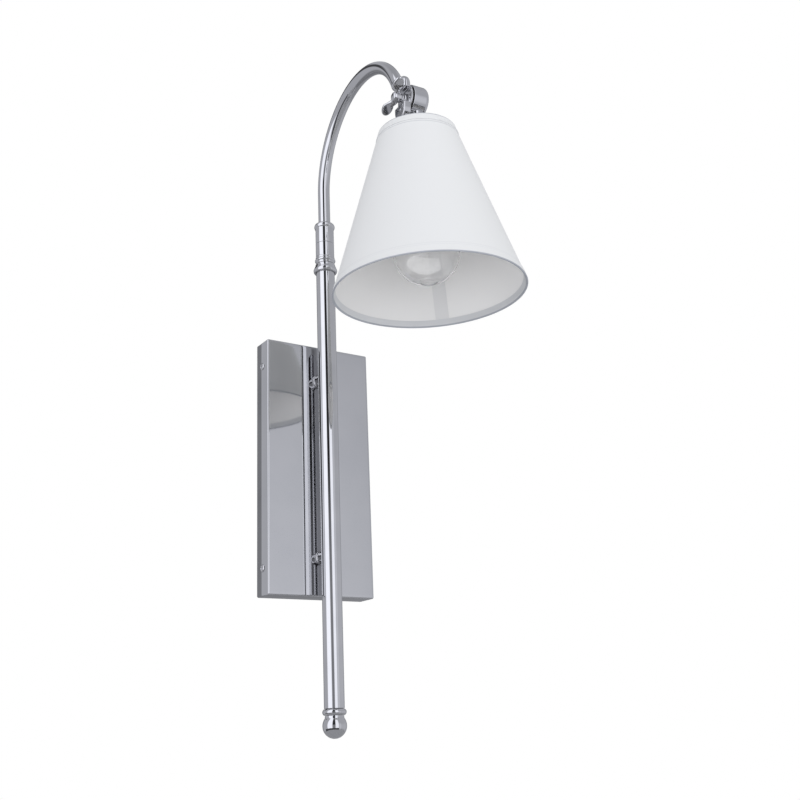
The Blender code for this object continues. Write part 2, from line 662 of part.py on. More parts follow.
def add_shade(head):
    bottom = SHADE_TOP - SHADE_HEIGHT
    skin = TRIM_WALL + GAP
    inner = skin + SHADE_WALL
    turned("shade_cone", band_profile(SHADE_TOP, bottom, skin, inner), FABRIC, head, steps=LARGE_STEPS)
    trims = {"top_trim": SHADE_TOP, "bottom_trim": bottom + TRIM_WIDTH}
    for name, top in trims.items():
        band = band_profile(top, top - TRIM_WIDTH, 0.0, TRIM_WALL)
        turned(name, band, FABRIC, head, steps=LARGE_STEPS)
    clear = inner + 0.0004 + WIRE_RADIUS
    low = bottom + 0.0025
    hoop = arc((shade_radius(low, clear), low), WIRE_RADIUS, 45, -315, 6)[:-1]
    turned("bottom_wire_ring", hoop, STEEL, head, steps=LARGE_STEPS)
    high = SHADE_TOP - 0.0022
    hoop = arc((shade_radius(high, clear), high), WIRE_RADIUS, 45, -315, 6)[:-1]
    hub_level = -0.0610
    hub = ring_profile(0.0215, HOLDER_RADIUS + GAP, hub_level + 0.0006, hub_level - 0.0006)
    spider = turned("shade_spider", hub, STEEL, head)
    rim = turned("rim_hoop", hoop, None, head, steps=LARGE_STEPS)
    spokes = []
    for i in range(3):
        angle = math.radians(30.0 + 120.0 * i)
        across = math.cos(angle)
        along = math.sin(angle)
        edge = shade_radius(high, clear)
        foot = ((0.0205, hub_level), (0.0235, hub_level + 0.0010))
        stops = (*foot, (edge - 0.0035, high - 0.0055), (edge, high))
        points = [(radius * across, radius * along, level) for radius, level in stops]
        spokes.append(wire("spoke", points, 0.0010, None, head))
    boolean(spider, "UNION", rim, *spokes)
    settle(spider)


def bulb_outline(wall):
    """Glass from the neck's end down to the tip: a cubic shoulder, then a sphere, inset by the wall."""
    join = math.radians(40.0)
    neck = (BULB_NECK - wall, -0.1030)
    start = (BULB_RADIUS * math.cos(join), BULB_CENTRE + BULB_RADIUS * math.sin(join))
    start = (start[0] - wall * math.cos(join), start[1] - wall * math.sin(join))
    points = [(BULB_NECK - wall, -0.0960)]
    count = 4
    for i in range(count):
        t = i / count
        ease = t * t * (3 - 2 * t)
        pull = t * (1 - t) ** 2
        push = t * t * (1 - t)
        radius = neck[0] * (1 - ease) + start[0] * ease - push * 0.024
        level = neck[1] * (1 - ease) + start[1] * ease - pull * 0.030 + push * 0.028
        points.append((radius, level))
    points += arc((0.0, BULB_CENTRE), BULB_RADIUS - wall, 40, -90, 7)
    return points


def add_bulb(head):
    closed_shell("bulb_glass", bulb_outline(0.0), bulb_outline(GLASS_WALL), head)
    base = [(0.0060, -0.0772), (0.0110, -0.0790), (BASE_RADIUS, -0.0820), (BASE_RADIUS, -0.1015)]
    base += [(0.0127, -0.1015), (0.0127, -0.0824), (0.0106, -0.0798), (0.0060, -0.0781)]
    turned("bulb_base", base, BRASS, head)
    contact = [(0.0, -0.0752), (0.0030, -0.0754), (0.0046, -0.0766), (0.0056, -0.0773), (0.0056, -0.0800)]
    contact += [(0.0, -0.0800)]
    turned("bulb_contact", contact, BRASS, head, steps=SMALL_STEPS)
    stem = [(0.0, -0.0845), (0.0090, -0.0850), (0.0075, -0.0930), (0.0035, -0.1050), (0.0028, -0.1180)]
    stem += [(0.0, -0.1200)]
    turned("bulb_stem", stem, GLASS, head, steps=SMALL_STEPS)
    coil = []
    count = 14
    for i in range(count + 1):
        across = -0.013 + 0.026 * i / count
        sway = 0.0016 * math.sin(2 * math.pi * 3.5 * i / count)
        coil.append((across, sway, -0.1475 - 0.0035 * math.sin(math.pi * i / count)))
    legs = [(-0.0036, 0, -0.1215), (-0.0060, 0, -0.1280), (-0.0125, 0, -0.1420)]
    back = [(-x, y, z) for x, y, z in legs[::-1]]
    wire("filament", legs + coil + back, 0.00035, TUNGSTEN, head, sides=6)


def closed_shell(name, outer, inner, head):
    """A turned shell whose two skins both meet the axis, joined round its open rim."""
    mesh = bpy.data.meshes.new(name)
    points = [(radius if radius > 1e-9 else 0.0, 0.0, height) for radius, height in outer[::-1] + inner]
    mesh.from_pydata(points, [(i, i + 1) for i in range(len(points) - 1)], [])
    made = new_object(name, mesh, GLASS, head)
    screw = made.modifiers.new("turn", "SCREW")
    screw.axis = "Z"
    screw.steps = STEPS
    screw.render_steps = STEPS
    screw.use_merge_vertices = True
    screw.merge_threshold = 1e-6
    screw.use_normal_flip = True
    return settle(made)


def main():
    add_bracket()
    add_cover()
    add_cover_screws()
    add_wiring()
    add_standoffs()
    add_stem()
    add_finial()
    add_swivel_foot()
    arm = new_empty("arm_pivot", None, (0, -STEM_OFFSET, 0), (0, 0, ARM_YAW))
    add_swivel_head(arm)
    add_arm_tube(arm)
    knuckle = (HINGE_SIDE, -HINGE_REACH, HINGE_Z)
    add_ear(new_empty("ear_seat", arm, knuckle))
    tilt = new_empty("tilt_pivot", arm, knuckle)
    head = new_empty("head_axis", tilt, (HEAD_SIDE, 0, 0), (0, HEAD_LEAN, 0))
    add_drum(tilt, head)
    add_lampholder(head)
    add_shade(head)
    add_bulb(head)
    add_wing_screw(new_empty("wing_pivot", arm, knuckle))


main()
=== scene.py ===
# %% [markdown]
# # A swing arm wall sconce, dressed for its portrait
#
# The working model already holds every solid, its place and its joints. This lesson gives the lamp its
# looks: fine turned metal, a bent tube, a knuckle with a wing screw, a cloth shade and a clear bulb.
# Two ideas carry most of it. A turned part is a profile carried round an axis, and everything else is a
# function of two parameters worked out on a grid. Both are plain numpy, so each shape is one formula.

# %% Load the frame
import math
import json
import bmesh
import bpy
import numpy as np
from mathutils import Matrix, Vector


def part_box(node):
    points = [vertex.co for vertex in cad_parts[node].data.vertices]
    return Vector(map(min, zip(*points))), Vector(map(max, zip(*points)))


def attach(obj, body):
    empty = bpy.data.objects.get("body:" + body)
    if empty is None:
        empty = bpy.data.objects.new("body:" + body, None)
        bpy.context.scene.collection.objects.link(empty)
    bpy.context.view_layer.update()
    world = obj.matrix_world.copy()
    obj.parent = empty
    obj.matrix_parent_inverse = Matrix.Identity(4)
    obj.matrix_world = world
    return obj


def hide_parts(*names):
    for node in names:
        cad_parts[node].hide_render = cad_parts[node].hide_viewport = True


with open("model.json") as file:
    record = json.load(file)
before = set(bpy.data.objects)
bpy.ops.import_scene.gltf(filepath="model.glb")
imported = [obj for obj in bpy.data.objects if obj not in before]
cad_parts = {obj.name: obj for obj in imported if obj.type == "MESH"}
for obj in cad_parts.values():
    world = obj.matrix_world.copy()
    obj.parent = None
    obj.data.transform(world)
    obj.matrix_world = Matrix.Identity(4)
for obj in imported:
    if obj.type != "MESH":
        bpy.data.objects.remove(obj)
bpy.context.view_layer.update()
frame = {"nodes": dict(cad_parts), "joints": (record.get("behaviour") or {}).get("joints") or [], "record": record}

# %% [markdown]
# ## Where things are
#
# Nothing is placed by eye. The stem's axis, the tilt hinge and the shade's axis are read from the frame:
# boxes of the solids and the joints of the record. The arm has a frame of its own, because it stands
# four degrees off square to the wall, and so has the shade, which leans a little under its hinge.

# %% Axes read from the frame
MM = 0.001
UP = np.array([0.0, 0.0, 1.0])


def box_of(node):
    """Lowest and highest corner of a solid as arrays."""
    low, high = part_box(node)
    return np.array(low), np.array(high)


def middle(node):
    low, high = box_of(node)
    return (low + high) / 2


def axes(origin, x, z):
    """A 4 by 4 matrix: origin, X along x, Z along z, and Y square to both."""
    x = np.asarray(x, float) / np.linalg.norm(x)
    z = np.asarray(z, float) / np.linalg.norm(z)
    made = np.eye(4)
    made[:3, 0], made[:3, 1], made[:3, 2], made[:3, 3] = x, np.cross(z, x), z, origin
    return made


joints = {joint["name"]: joint for joint in frame["joints"]}
stem_place = np.array([*joints["arm_swing"]["pos_m"][:2], 0.0])
hinge = np.array(joints["shade_tilt"]["pos_m"])
side = -np.array(joints["shade_tilt"]["axis"])
STEM = axes(stem_place, (1, 0, 0), UP)
ARM = axes(stem_place, side, UP)
HINGE = axes(hinge, side, UP)
shade_low = middle("bottom_trim")
shade_high = middle("top_trim")
shade_up = (shade_high - shade_low) / np.linalg.norm(shade_high - shade_low)
head_place = shade_high + shade_up * ((hinge - shade_high) @ shade_up)
HEAD = axes(head_place, side - shade_up * (side @ shade_up), shade_up)
print("hinge", hinge.round(4), "shade leans", round(math.degrees(math.acos(shade_up[2])), 2), "degrees")

# %% [markdown]
# ## Camera
#
# The lamp is seen from its left and from below, so that the eye looks up into the shade. The camera
# stands one metre off, a little below the wall box, and is rolled by two degrees.

# %% Camera
CAMERA_PLACE = (-0.49858, -0.92457, -0.26218)
CAMERA_AZIMUTH = math.radians(33.516)
CAMERA_ELEVATION = math.radians(17.779)
CAMERA_ROLL = math.radians(-2.421)
LENS = 47.99

ahead = np.array([
    math.sin(CAMERA_AZIMUTH) * math.cos(CAMERA_ELEVATION),
    math.cos(CAMERA_AZIMUTH) * math.cos(CAMERA_ELEVATION),
    math.sin(CAMERA_ELEVATION),
])
level_right = np.array([math.cos(CAMERA_AZIMUTH), -math.sin(CAMERA_AZIMUTH), 0.0])
level_up = np.cross(level_right, ahead)
camera_right = math.cos(CAMERA_ROLL) * level_right + math.sin(CAMERA_ROLL) * level_up
camera_up = -math.sin(CAMERA_ROLL) * level_right + math.cos(CAMERA_ROLL) * level_up
camera_matrix = np.eye(4)
camera_matrix[:3, 0], camera_matrix[:3, 1], camera_matrix[:3, 2] = camera_right, camera_up, -ahead
camera_matrix[:3, 3] = CAMERA_PLACE
camera = bpy.data.objects.new("camera", bpy.data.cameras.new("camera"))
bpy.context.scene.collection.objects.link(camera)
camera.matrix_world = Matrix(camera_matrix.tolist())
camera.data.lens = LENS
camera.data.clip_start = 0.01
bpy.context.scene.camera = camera
bpy.context.scene.view_settings.view_transform = "Standard"
print("camera at", CAMERA_PLACE, "lens", LENS)

# %% [markdown]
# ## A studio for polished metal
#
# Polished metal has no colour of its own to speak of: it shows the room. So the room is designed first.
# Tall soft boxes stand left and right of the camera, and the dark gap between them is what draws the thin
# black line down every tube. The room is a function of direction: the turn away from the camera, and the
# height above the horizon. A group makes one soft-edged window in those two angles. The world adds a few
# of them as lamps, and darkens itself by a few more.

# %% Node helpers
def link(tree, start, end):
    tree.links.new(start, end)


def math_node(tree, operation, *values):
    """A Math node with each input either a number or another node's output."""
    node = tree.nodes.new("ShaderNodeMath")
    node.operation = operation
    for socket, value in zip(node.inputs, values):
        if isinstance(value, (int, float)):
            socket.default_value = value
        else:
            link(tree, value, socket)
    return node.outputs[0]


def smooth_step(tree, value, start, end):
    """0 before start and 1 after end, with a soft shoulder between them."""
    node = tree.nodes.new("ShaderNodeMapRange")
    node.interpolation_type = "SMOOTHSTEP"
    for socket, given in zip(node.inputs, (value, start, end)):
        if isinstance(given, (int, float)):
            socket.default_value = given
        else:
            link(tree, given, socket)
    return node.outputs["Result"]


def new_group(name, inputs, outputs):
    """An empty shader group with named sockets: name to (type, default)."""
    group = bpy.data.node_groups.new(name, "ShaderNodeTree")
    for label, (kind, default) in inputs.items():
        socket = group.interface.new_socket(label, in_out="INPUT", socket_type=kind)
        if default is not None:
            socket.default_value = default
    for label, kind in outputs.items():
        group.interface.new_socket(label, in_out="OUTPUT", socket_type=kind)
    start = group.nodes.new("NodeGroupInput")
    end = group.nodes.new("NodeGroupOutput")
    return group, start.outputs, end.inputs


def use_group(tree, group, **values):
    """Places a group in a tree, with values or links for its inputs by name."""
    node = tree.nodes.new("ShaderNodeGroup")
    node.node_tree = group
    for label, value in values.items():
        socket = node.inputs[label.replace("_", " ")]
        if isinstance(value, bpy.types.NodeSocket):
            link(tree, value, socket)
        else:
            socket.default_value = value
    return node.outputs


FLOAT = "NodeSocketFloat"
COLOUR = "NodeSocketColor"
VECTOR = "NodeSocketVector"
print("node helpers ready")

# %% Soft box group
soft_box, given, put = new_group(
    "soft_box",
    {
        "Turn": (FLOAT, 0.0), "Height": (FLOAT, 0.0), "From": (FLOAT, 0.0), "To": (FLOAT, 1.0),
        "Low": (FLOAT, 0.0), "High": (FLOAT, 90.0), "Soft": (FLOAT, 3.0), "Fade": (FLOAT, 6.0),
    },
    {"Mask": FLOAT},
)


def window(tree, value, low, high, soft):
    """1 between low and high, falling softly to 0 outside them."""

    def step_at(edge):
        return smooth_step(
            tree, value, math_node(tree, "SUBTRACT", edge, soft), math_node(tree, "ADD", edge, soft)
        )

    return math_node(tree, "MULTIPLY", step_at(low), math_node(tree, "SUBTRACT", 1.0, step_at(high)))


across = window(soft_box, given["Turn"], given["From"], given["To"], given["Soft"])
along = window(soft_box, given["Height"], given["Low"], given["High"], given["Fade"])
link(soft_box, math_node(soft_box, "MULTIPLY", across, along), put["Mask"])
print("soft box group:", len(soft_box.nodes), "nodes")

# %% The room
ROOM_GREY = (0.50, 0.508, 0.545)
LAMPS = (
    # name, from, to, low, high, soft, fade, brightness
    ("left_box", -68.0, -19.0, -33.0, 70.0, 4.5, 6.0, 0.84),
    ("right_box", 13.0, 42.0, -28.0, 64.0, 3.5, 6.0, 0.74),
    ("right_rim", 42.0, 66.0, -28.0, 20.0, 6.0, 8.0, 0.14),
    ("low_glow", 50.0, 130.0, -20.0, 10.0, 8.0, 9.0, 0.08),
)
SHADES = (
    # the same, with a depth in place of a brightness
    ("gap", -16.5, 9.5, 9.0, 68.0, 3.0, 7.0, 0.95),
    ("low_gap", -14.0, 9.0, -30.0, 9.0, 4.0, 7.0, 0.5),
    ("behind_line", -170.0, -112.0, 33.0, 50.0, 8.0, 3.0, 0.86),
    ("behind_left", -182.0, -136.0, -70.0, 30.0, 8.0, 6.0, 0.55),
    ("behind_right", 148.0, 182.0, -70.0, 64.0, 8.0, 6.0, 0.35),
    ("upper_dim", -180.0, 180.0, 66.0, 95.0, 1.0, 12.0, 0.2),
)
DAY_ABOVE = 0.60
DAY_BELOW = 1.06
DAY_SIDE = 0.34
DAY_RISE = (-25.0, 12.0)

world = bpy.data.worlds.new("studio")
bpy.context.scene.world = world
world.use_nodes = True
room = world.node_tree
room.nodes.clear()
direction = room.nodes.new("ShaderNodeTexCoord").outputs["Generated"]


def towards(vector):
    """How far the viewed direction points along a fixed one."""
    node = room.nodes.new("ShaderNodeVectorMath")
    node.operation = "DOT_PRODUCT"
    link(room, direction, node.inputs[0])
    node.inputs[1].default_value = vector
    return node.outputs["Value"]


level_ahead = (math.sin(CAMERA_AZIMUTH), math.cos(CAMERA_AZIMUTH), 0.0)
to_camera = tuple(-value for value in level_ahead)
turn = math_node(room, "ARCTAN2", towards(tuple(level_right)), towards(to_camera))
turn = math_node(room, "MULTIPLY", turn, math.degrees(1.0))
height = math_node(room, "ARCSINE", towards((0.0, 0.0, 1.0)))
height = math_node(room, "MULTIPLY", height, math.degrees(1.0))


def box_mask(start, end, low, high, soft, fade):
    edges = {"From": start, "To": end, "Low": low, "High": high, "Soft": soft, "Fade": fade}
    return use_group(room, soft_box, Turn=turn, Height=height, **edges)["Mask"]


brightness = 1.0
for name, start, end, low, high, soft, fade, gain in LAMPS:
    mask = box_mask(start, end, low, high, soft, fade)
    brightness = math_node(room, "ADD", brightness, math_node(room, "MULTIPLY", mask, gain / ROOM_GREY[0]))
for name, start, end, low, high, soft, fade, depth in SHADES:
    mask = math_node(room, "MULTIPLY", box_mask(start, end, low, high, soft, fade), depth)
    brightness = math_node(room, "MULTIPLY", brightness, math_node(room, "SUBTRACT", 1.0, mask))

studio = room.nodes.new("ShaderNodeBackground")
studio.inputs["Color"].default_value = (*ROOM_GREY, 1.0)
link(room, brightness, studio.inputs["Strength"])
backdrop = room.nodes.new("ShaderNodeBackground")
backdrop.inputs["Color"].default_value = (1.0, 1.0, 1.0, 1.0)
backdrop.inputs["Strength"].default_value = 1.0
day = room.nodes.new("ShaderNodeBackground")
day.inputs["Color"].default_value = (0.985, 0.99, 1.0, 1.0)
fill_way = tuple(0.34 * level_right - 0.94 * np.array(level_ahead))
rise = smooth_step(room, height, *DAY_RISE)
day_level = math_node(room, "ADD", DAY_BELOW, math_node(room, "MULTIPLY", rise, DAY_ABOVE - DAY_BELOW))
day_level = math_node(room, "ADD", day_level, math_node(room, "MULTIPLY", towards(fill_way), DAY_SIDE))
link(room, day_level, day.inputs["Strength"])
rays = room.nodes.new("ShaderNodeLightPath").outputs


def chosen(mask, first, second):
    node = room.nodes.new("ShaderNodeMixShader")
    link(room, mask, node.inputs["Fac"])
    link(room, first.outputs[0], node.inputs[1])
    link(room, second.outputs[0], node.inputs[2])
    return node


seen = math_node(room, "MAXIMUM", rays["Is Camera Ray"], rays["Is Transmission Ray"])
surround = chosen(seen, chosen(rays["Is Diffuse Ray"], studio, day), backdrop)
link(room, surround.outputs[0], room.nodes.new("ShaderNodeOutputWorld").inputs["Surface"])
print("room:", len(LAMPS), "lamps,", len(SHADES), "dark strips")

# %% [markdown]
# Cloth asks for other light than metal does: even, with a slight lean to one side and more from below, so
# that the inside of the shade stays bright. So diffuse rays get a plain daylight dome of their own.
#
# Three soft lamps help the shade. One draws a window on the bulb, one reaches up into the liner from the
# left, and a ball of light inside stands for what bounces about in there. Light linking keeps each to its
# own pieces, so the metal never sees them. The floor is plain pale paper.

# %% Floor
FLOOR_LEVEL = -0.62
FLOOR_RADIUS = 0.9
# Two copies of one paper: the camera sees it paler than the metal does, and every other ray sees a darker copy
# that is painted shade.
PAPER_SEEN = (0.93, 0.93, 0.93, 1.0)
PAPER_IN_SHADE = (0.60, 0.605, 0.625, 1.0)

floor_mesh = bpy.data.meshes.new("floor")
disc = bmesh.new()
bmesh.ops.create_circle(disc, cap_ends=True, segments=96, radius=FLOOR_RADIUS)
disc.to_mesh(floor_mesh)
disc.free()
floor = bpy.data.objects.new("floor", floor_mesh)
floor.location = (0.0, 0.0, FLOOR_LEVEL)
bpy.context.scene.collection.objects.link(floor)
paper = bpy.data.materials.new("floor_paper")
paper.use_nodes = True
paper_shader = paper.node_tree.nodes["Principled BSDF"]
paper_shader.inputs["Roughness"].default_value = 0.9
paper_ray = paper.node_tree.nodes.new("ShaderNodeLightPath")
paper_tone = paper.node_tree.nodes.new("ShaderNodeMix")
paper_tone.data_type = "RGBA"
paper_tone.inputs[6].default_value = PAPER_IN_SHADE
paper_tone.inputs[7].default_value = PAPER_SEEN
# Painted shade: camera rays get the pale paper, all other rays the darker copy.
link(paper.node_tree, paper_ray.outputs["Is Camera Ray"], paper_tone.inputs[0])
link(paper.node_tree, paper_tone.outputs[2], paper_shader.inputs["Base Color"])
floor_mesh.materials.append(paper)
print("floor at", FLOOR_LEVEL, "radius", FLOOR_RADIUS)

# %% Dark strip
# It lies on the floor towards the camera. Only mirrors see it: it is the black line that
# crosses the knob and every bend.
STRIP_INSIDE = 0.60
STRIP_OUTSIDE = 1.15
STRIP_TURN = (-98.0, 46.0)
STRIP_LIFT = 0.004

facing = math.atan2(to_camera[1], to_camera[0])
sweep = facing + np.radians(np.linspace(*STRIP_TURN, 73))
strip_level = 0 * sweep + FLOOR_LEVEL + STRIP_LIFT
strip = np.stack([
    np.stack([radius * np.cos(sweep), radius * np.sin(sweep), strip_level], -1)
    for radius in (STRIP_INSIDE, STRIP_OUTSIDE)
])
columns = len(sweep)
quads = [(i, i + 1, columns + i + 1, columns + i) for i in range(columns - 1)]
strip_mesh = bpy.data.meshes.new("dark_strip")
strip_mesh.from_pydata(strip.reshape(-1, 3).tolist(), [], quads)
dark_strip = bpy.data.objects.new("dark_strip", strip_mesh)
bpy.context.scene.collection.objects.link(dark_strip)
dark_paper = bpy.data.materials.new("dark_paper")
dark_paper.use_nodes = True
dark_shader = dark_paper.node_tree.nodes["Principled BSDF"]
dark_shader.inputs["Base Color"].default_value = (0.13, 0.13, 0.14, 1.0)
dark_shader.inputs["Specular IOR Level"].default_value = 0.0
strip_mesh.materials.append(dark_paper)
dark_strip.visible_camera = False
dark_strip.visible_diffuse = False
dark_strip.visible_shadow = False
dark_strip.visible_transmission = False
print("dark strip over", STRIP_TURN[1] - STRIP_TURN[0], "degrees")

# %% Lamps for the shade
BULB_LAMP_PLACE = np.array([-0.17, -0.27, -0.32])
BULB_LAMP_SIZE = (1.3, 0.6)
BULB_POWER = 3.7
LINER_LAMP_PLACE = hinge - 0.34 * level_right + [0.0, 0.0, -0.34]
LINER_LAMP_SIZE = (0.4, 0.4)
LINER_POWER = 0.22
BOUNCE_PLACE = hinge + [0.0, 0.0, -0.115]
BOUNCE_RADIUS = 0.03
BOUNCE_POWER = 0.022
LAMP_AIM = hinge + [0.0, 0.0, -0.15]


def lamp_below(name, place, size, power):
    """A soft lamp under the shade, facing up into it. Light linking picks what it lights."""
    data = bpy.data.lights.new(name, "AREA")
    data.shape = "RECTANGLE"
    data.size, data.size_y = size
    data.energy = power
    lamp = bpy.data.objects.new(name, data)
    bpy.context.scene.collection.objects.link(lamp)
    back = place - LAMP_AIM
    across = level_right - back * (level_right @ back) / (back @ back)
    lamp.matrix_world = Matrix(axes(place, across, back).tolist())
    return lamp


def glow_inside(name, place, radius, power):
    """A soft ball of light without shadows."""
    data = bpy.data.lights.new(name, "POINT")
    data.shadow_soft_size = radius
    data.use_shadow = False
    data.energy = power
    lamp = bpy.data.objects.new(name, data)
    lamp.location = place.tolist()
    bpy.context.scene.collection.objects.link(lamp)
    return lamp


def lights_only(lamp, *pieces):
    """Links a lamp to the pieces that it may light."""
    chosen_pieces = bpy.data.collections.new(lamp.name + "_on")
    for piece in pieces:
        chosen_pieces.objects.link(piece)
    lamp.light_linking.receiver_collection = chosen_pieces


bulb_lamp = lamp_below("bulb_lamp", BULB_LAMP_PLACE, BULB_LAMP_SIZE, BULB_POWER)
liner_lamp = lamp_below("liner_lamp", LINER_LAMP_PLACE, LINER_LAMP_SIZE, LINER_POWER)
bounce = glow_inside("bounce", BOUNCE_PLACE, BOUNCE_RADIUS, BOUNCE_POWER)
print("lamps for the shade:", BULB_POWER, LINER_POWER, BOUNCE_POWER, "W")

# %% [markdown]
# ## Shapes from formulas
#
# Four small tools make nearly every piece. `spun` turns a profile about an axis, `swept` carries a circle
# along a path, `rounded_slab` gives a flat outline a thickness with soft edges, and `united` joins closed
# forms with an exact Boolean. The first three return a grid of points, rows by columns. A seam column is
# repeated and then welded, so that surfaces close without a special case.

# %% Mesh tools
def grid_mesh(name, points, uv=None, weld=1e-7):
    """A mesh over a grid of points (rows, columns, 3), with an optional UV (rows, columns, 2).

    Each cell of the grid becomes one four-cornered face. Points that fall together, at a pole or a
    seam, are then merged, and the faces are turned to look outwards."""
    rows, columns = points.shape[:2]
    row, column = np.meshgrid(np.arange(rows - 1), np.arange(columns - 1), indexing="ij")
    first = row * columns + column
    quads = np.stack([first, first + 1, first + columns + 1, first + columns], axis=-1).reshape(-1, 4)
    mesh = bpy.data.meshes.new(name)
    mesh.from_pydata(points.reshape(-1, 3).tolist(), [], quads.tolist())
    if uv is not None:
        layer = mesh.uv_layers.new(name="UVMap")
        layer.data.foreach_set("uv", uv.reshape(-1, 2)[quads.ravel()].astype(np.float32).ravel())
    return welded(mesh, weld)


def welded(mesh, distance=1e-7):
    work = bmesh.new()
    work.from_mesh(mesh)
    bmesh.ops.remove_doubles(work, verts=work.verts, dist=distance)
    bmesh.ops.dissolve_degenerate(work, edges=work.edges, dist=distance / 10)
    bmesh.ops.recalc_face_normals(work, faces=work.faces)
    work.to_mesh(mesh)
    work.free()
    return mesh


def placed(points, matrix):
    """Points (..., 3) carried by a 4 by 4 matrix."""
    return points @ matrix[:3, :3].T + matrix[:3, 3]


def turned_by(matrix, origin, x, z):
    """A frame inside another frame: origin, X and Z given in the outer one's own numbers."""
    return matrix @ axes(origin, x, z)


def softened(profile, radius, count=4):
    """A polyline with each inner corner replaced by a short quadratic curve.

    The curve starts and ends `radius` before and after the corner, or at 45% of a shorter side, and
    its point at t is (1-t)^2 start + 2t(1-t) corner + t^2 end."""
    profile = np.asarray(profile, float)
    made = [profile[:1]]
    t = np.linspace(0.0, 1.0, count + 1)[:, None]
    for before, corner, after in zip(profile, profile[1:], profile[2:]):
        back, on = before - corner, after - corner
        lengths = np.hypot(*back), np.hypot(*on)
        start = corner + back * min(radius / lengths[0], 0.45)
        end = corner + on * min(radius / lengths[1], 0.45)
        made.append((1 - t) ** 2 * start + 2 * t * (1 - t) * corner + t**2 * end)
    made.append(profile[-1:])
    return np.concatenate(made)


def ring(profile, radius, count=4):
    """A closed profile with every corner softened, starting and ending halfway along its first side."""
    profile = np.asarray(profile, float)
    start = (profile[0] + profile[1]) / 2
    return softened([start, *profile[1:], profile[0], start], radius, count)


def circle_arc(centre, radius, start, end, count=12):
    """(radius, height) points on an arc from one angle to another, in degrees."""
    angle = np.radians(np.linspace(start, end, count + 1))
    return np.stack([centre[0] + radius * np.cos(angle), centre[1] + radius * np.sin(angle)], axis=-1)


def spun(profile, steps=96):
    """A profile of (radius, height) turned about Z: the point is (r cos a, r sin a, h)."""
    profile = np.asarray(profile, float)
    angle = np.linspace(0.0, 2 * math.pi, steps + 1)
    radius, height = profile[:, :1], profile[:, 1:]
    return np.stack([radius * np.cos(angle), radius * np.sin(angle), height + 0 * angle], axis=-1)


def swept(path, radius, sides=24):
    """A circle carried along a path: centre + r (cos a normal + sin a binormal).

    The normal is carried along without twist: each one is the last one made square to the new tangent."""
    path = np.asarray(path, float)
    tangent = np.gradient(path, axis=0)
    tangent /= np.linalg.norm(tangent, axis=1, keepdims=True)
    normal = np.empty_like(path)
    guess = np.array([0.0, 0.0, 1.0]) if abs(tangent[0][2]) < 0.9 else np.array([1.0, 0.0, 0.0])
    for i, along in enumerate(tangent):
        guess = guess - along * (guess @ along)
        guess /= np.linalg.norm(guess)
        normal[i] = guess
    binormal = np.cross(tangent, normal)
    angle = np.linspace(0.0, 2 * math.pi, sides + 1)[None, :, None]
    radius = np.broadcast_to(radius, len(path))[:, None, None]
    rim = np.cos(angle) * normal[:, None] + np.sin(angle) * binormal[:, None]
    return path[:, None] + radius * rim


def capped(points):
    """Closes both ends of a swept form with a fan to each end's middle."""
    ends = [np.broadcast_to(row.mean(axis=0), row.shape)[None] for row in (points[0], points[-1])]
    return np.concatenate([ends[0], points, ends[1]])


def rounded_slab(outline, centre, thickness, radius, steps=6):
    """A closed outline in XY given a thickness along Z, with both rims rounded.

    The outline must be visible from the centre. As the angle a goes round the rim from face to side,
    each point is radius (1 - sin a) nearer the centre and radius (1 - cos a) below the face."""
    outline = np.asarray(outline, float) - centre
    distance = np.linalg.norm(outline, axis=1)
    angle = np.linspace(0.0, math.pi / 2, steps + 1)
    inset = radius * (1 - np.sin(angle))
    level = thickness / 2 - radius * (1 - np.cos(angle))
    inset = np.concatenate([inset, inset[-2::-1]])
    level = np.concatenate([level, -level[-2::-1]])
    flat = outline[None] * (1 - inset[:, None] / distance[None])[..., None] + centre
    points = np.concatenate([flat, np.broadcast_to(level[:, None, None], (*flat.shape[:2], 1))], axis=-1)
    points = np.concatenate([points, points[:, :1]], axis=1)
    tips = [np.broadcast_to([*centre, height], points[0].shape)[None] for height in (level[0], level[-1])]
    return np.concatenate([tips[0], points, tips[1]])


def united(name, first, *others, operation="UNION"):
    """Closed meshes joined, or cut from the first, by an exact Boolean, as one new mesh."""
    body = bpy.data.objects.new(name, first)
    bpy.context.scene.collection.objects.link(body)
    helpers = []
    for other in others:
        helper = bpy.data.objects.new("helper", other)
        bpy.context.scene.collection.objects.link(helper)
        cut = body.modifiers.new("join", "BOOLEAN")
        cut.operation = operation
        cut.solver = "EXACT"
        cut.object = helper
        helpers.append(helper)
    bpy.context.view_layer.update()
    graph = bpy.context.evaluated_depsgraph_get()
    made = bpy.data.meshes.new_from_object(body.evaluated_get(graph))
    for done in [body, *helpers]:
        bpy.data.objects.remove(done)
    made.name = name
    return made


def new_piece(name, mesh, material, body, stands_for=(), corner=40.0, weighted=False):
    """One finished piece: shaded smooth but for its sharp corners, riding on its body.

    On a joined casting, normals weighted by face area keep its flats looking flat."""
    piece = bpy.data.objects.new(name, mesh)
    bpy.context.scene.collection.objects.link(piece)
    mesh.materials.clear()
    mesh.materials.append(material)
    mesh.shade_smooth()
    mesh.set_sharp_from_angle(angle=math.radians(corner))
    if weighted:
        flats = piece.modifiers.new("flats", "WEIGHTED_NORMAL")
        flats.keep_sharp = True
    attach(piece, body)
    if stands_for:
        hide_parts(*stands_for)
    return piece


print("shape tools ready")

# %% [markdown]
# ## Finishes
#
# A polished surface is never a perfect mirror. Handling leaves faint cloudy patches that are a touch
# rougher, and buffing leaves very fine lines. One group makes both, as a mask and a height, and each
# metal uses it with its own scale. Cloth gets a plain weave worked out from the piece's own UV map, whose
# unit is the metre, and plastics get a fine moulded grain.

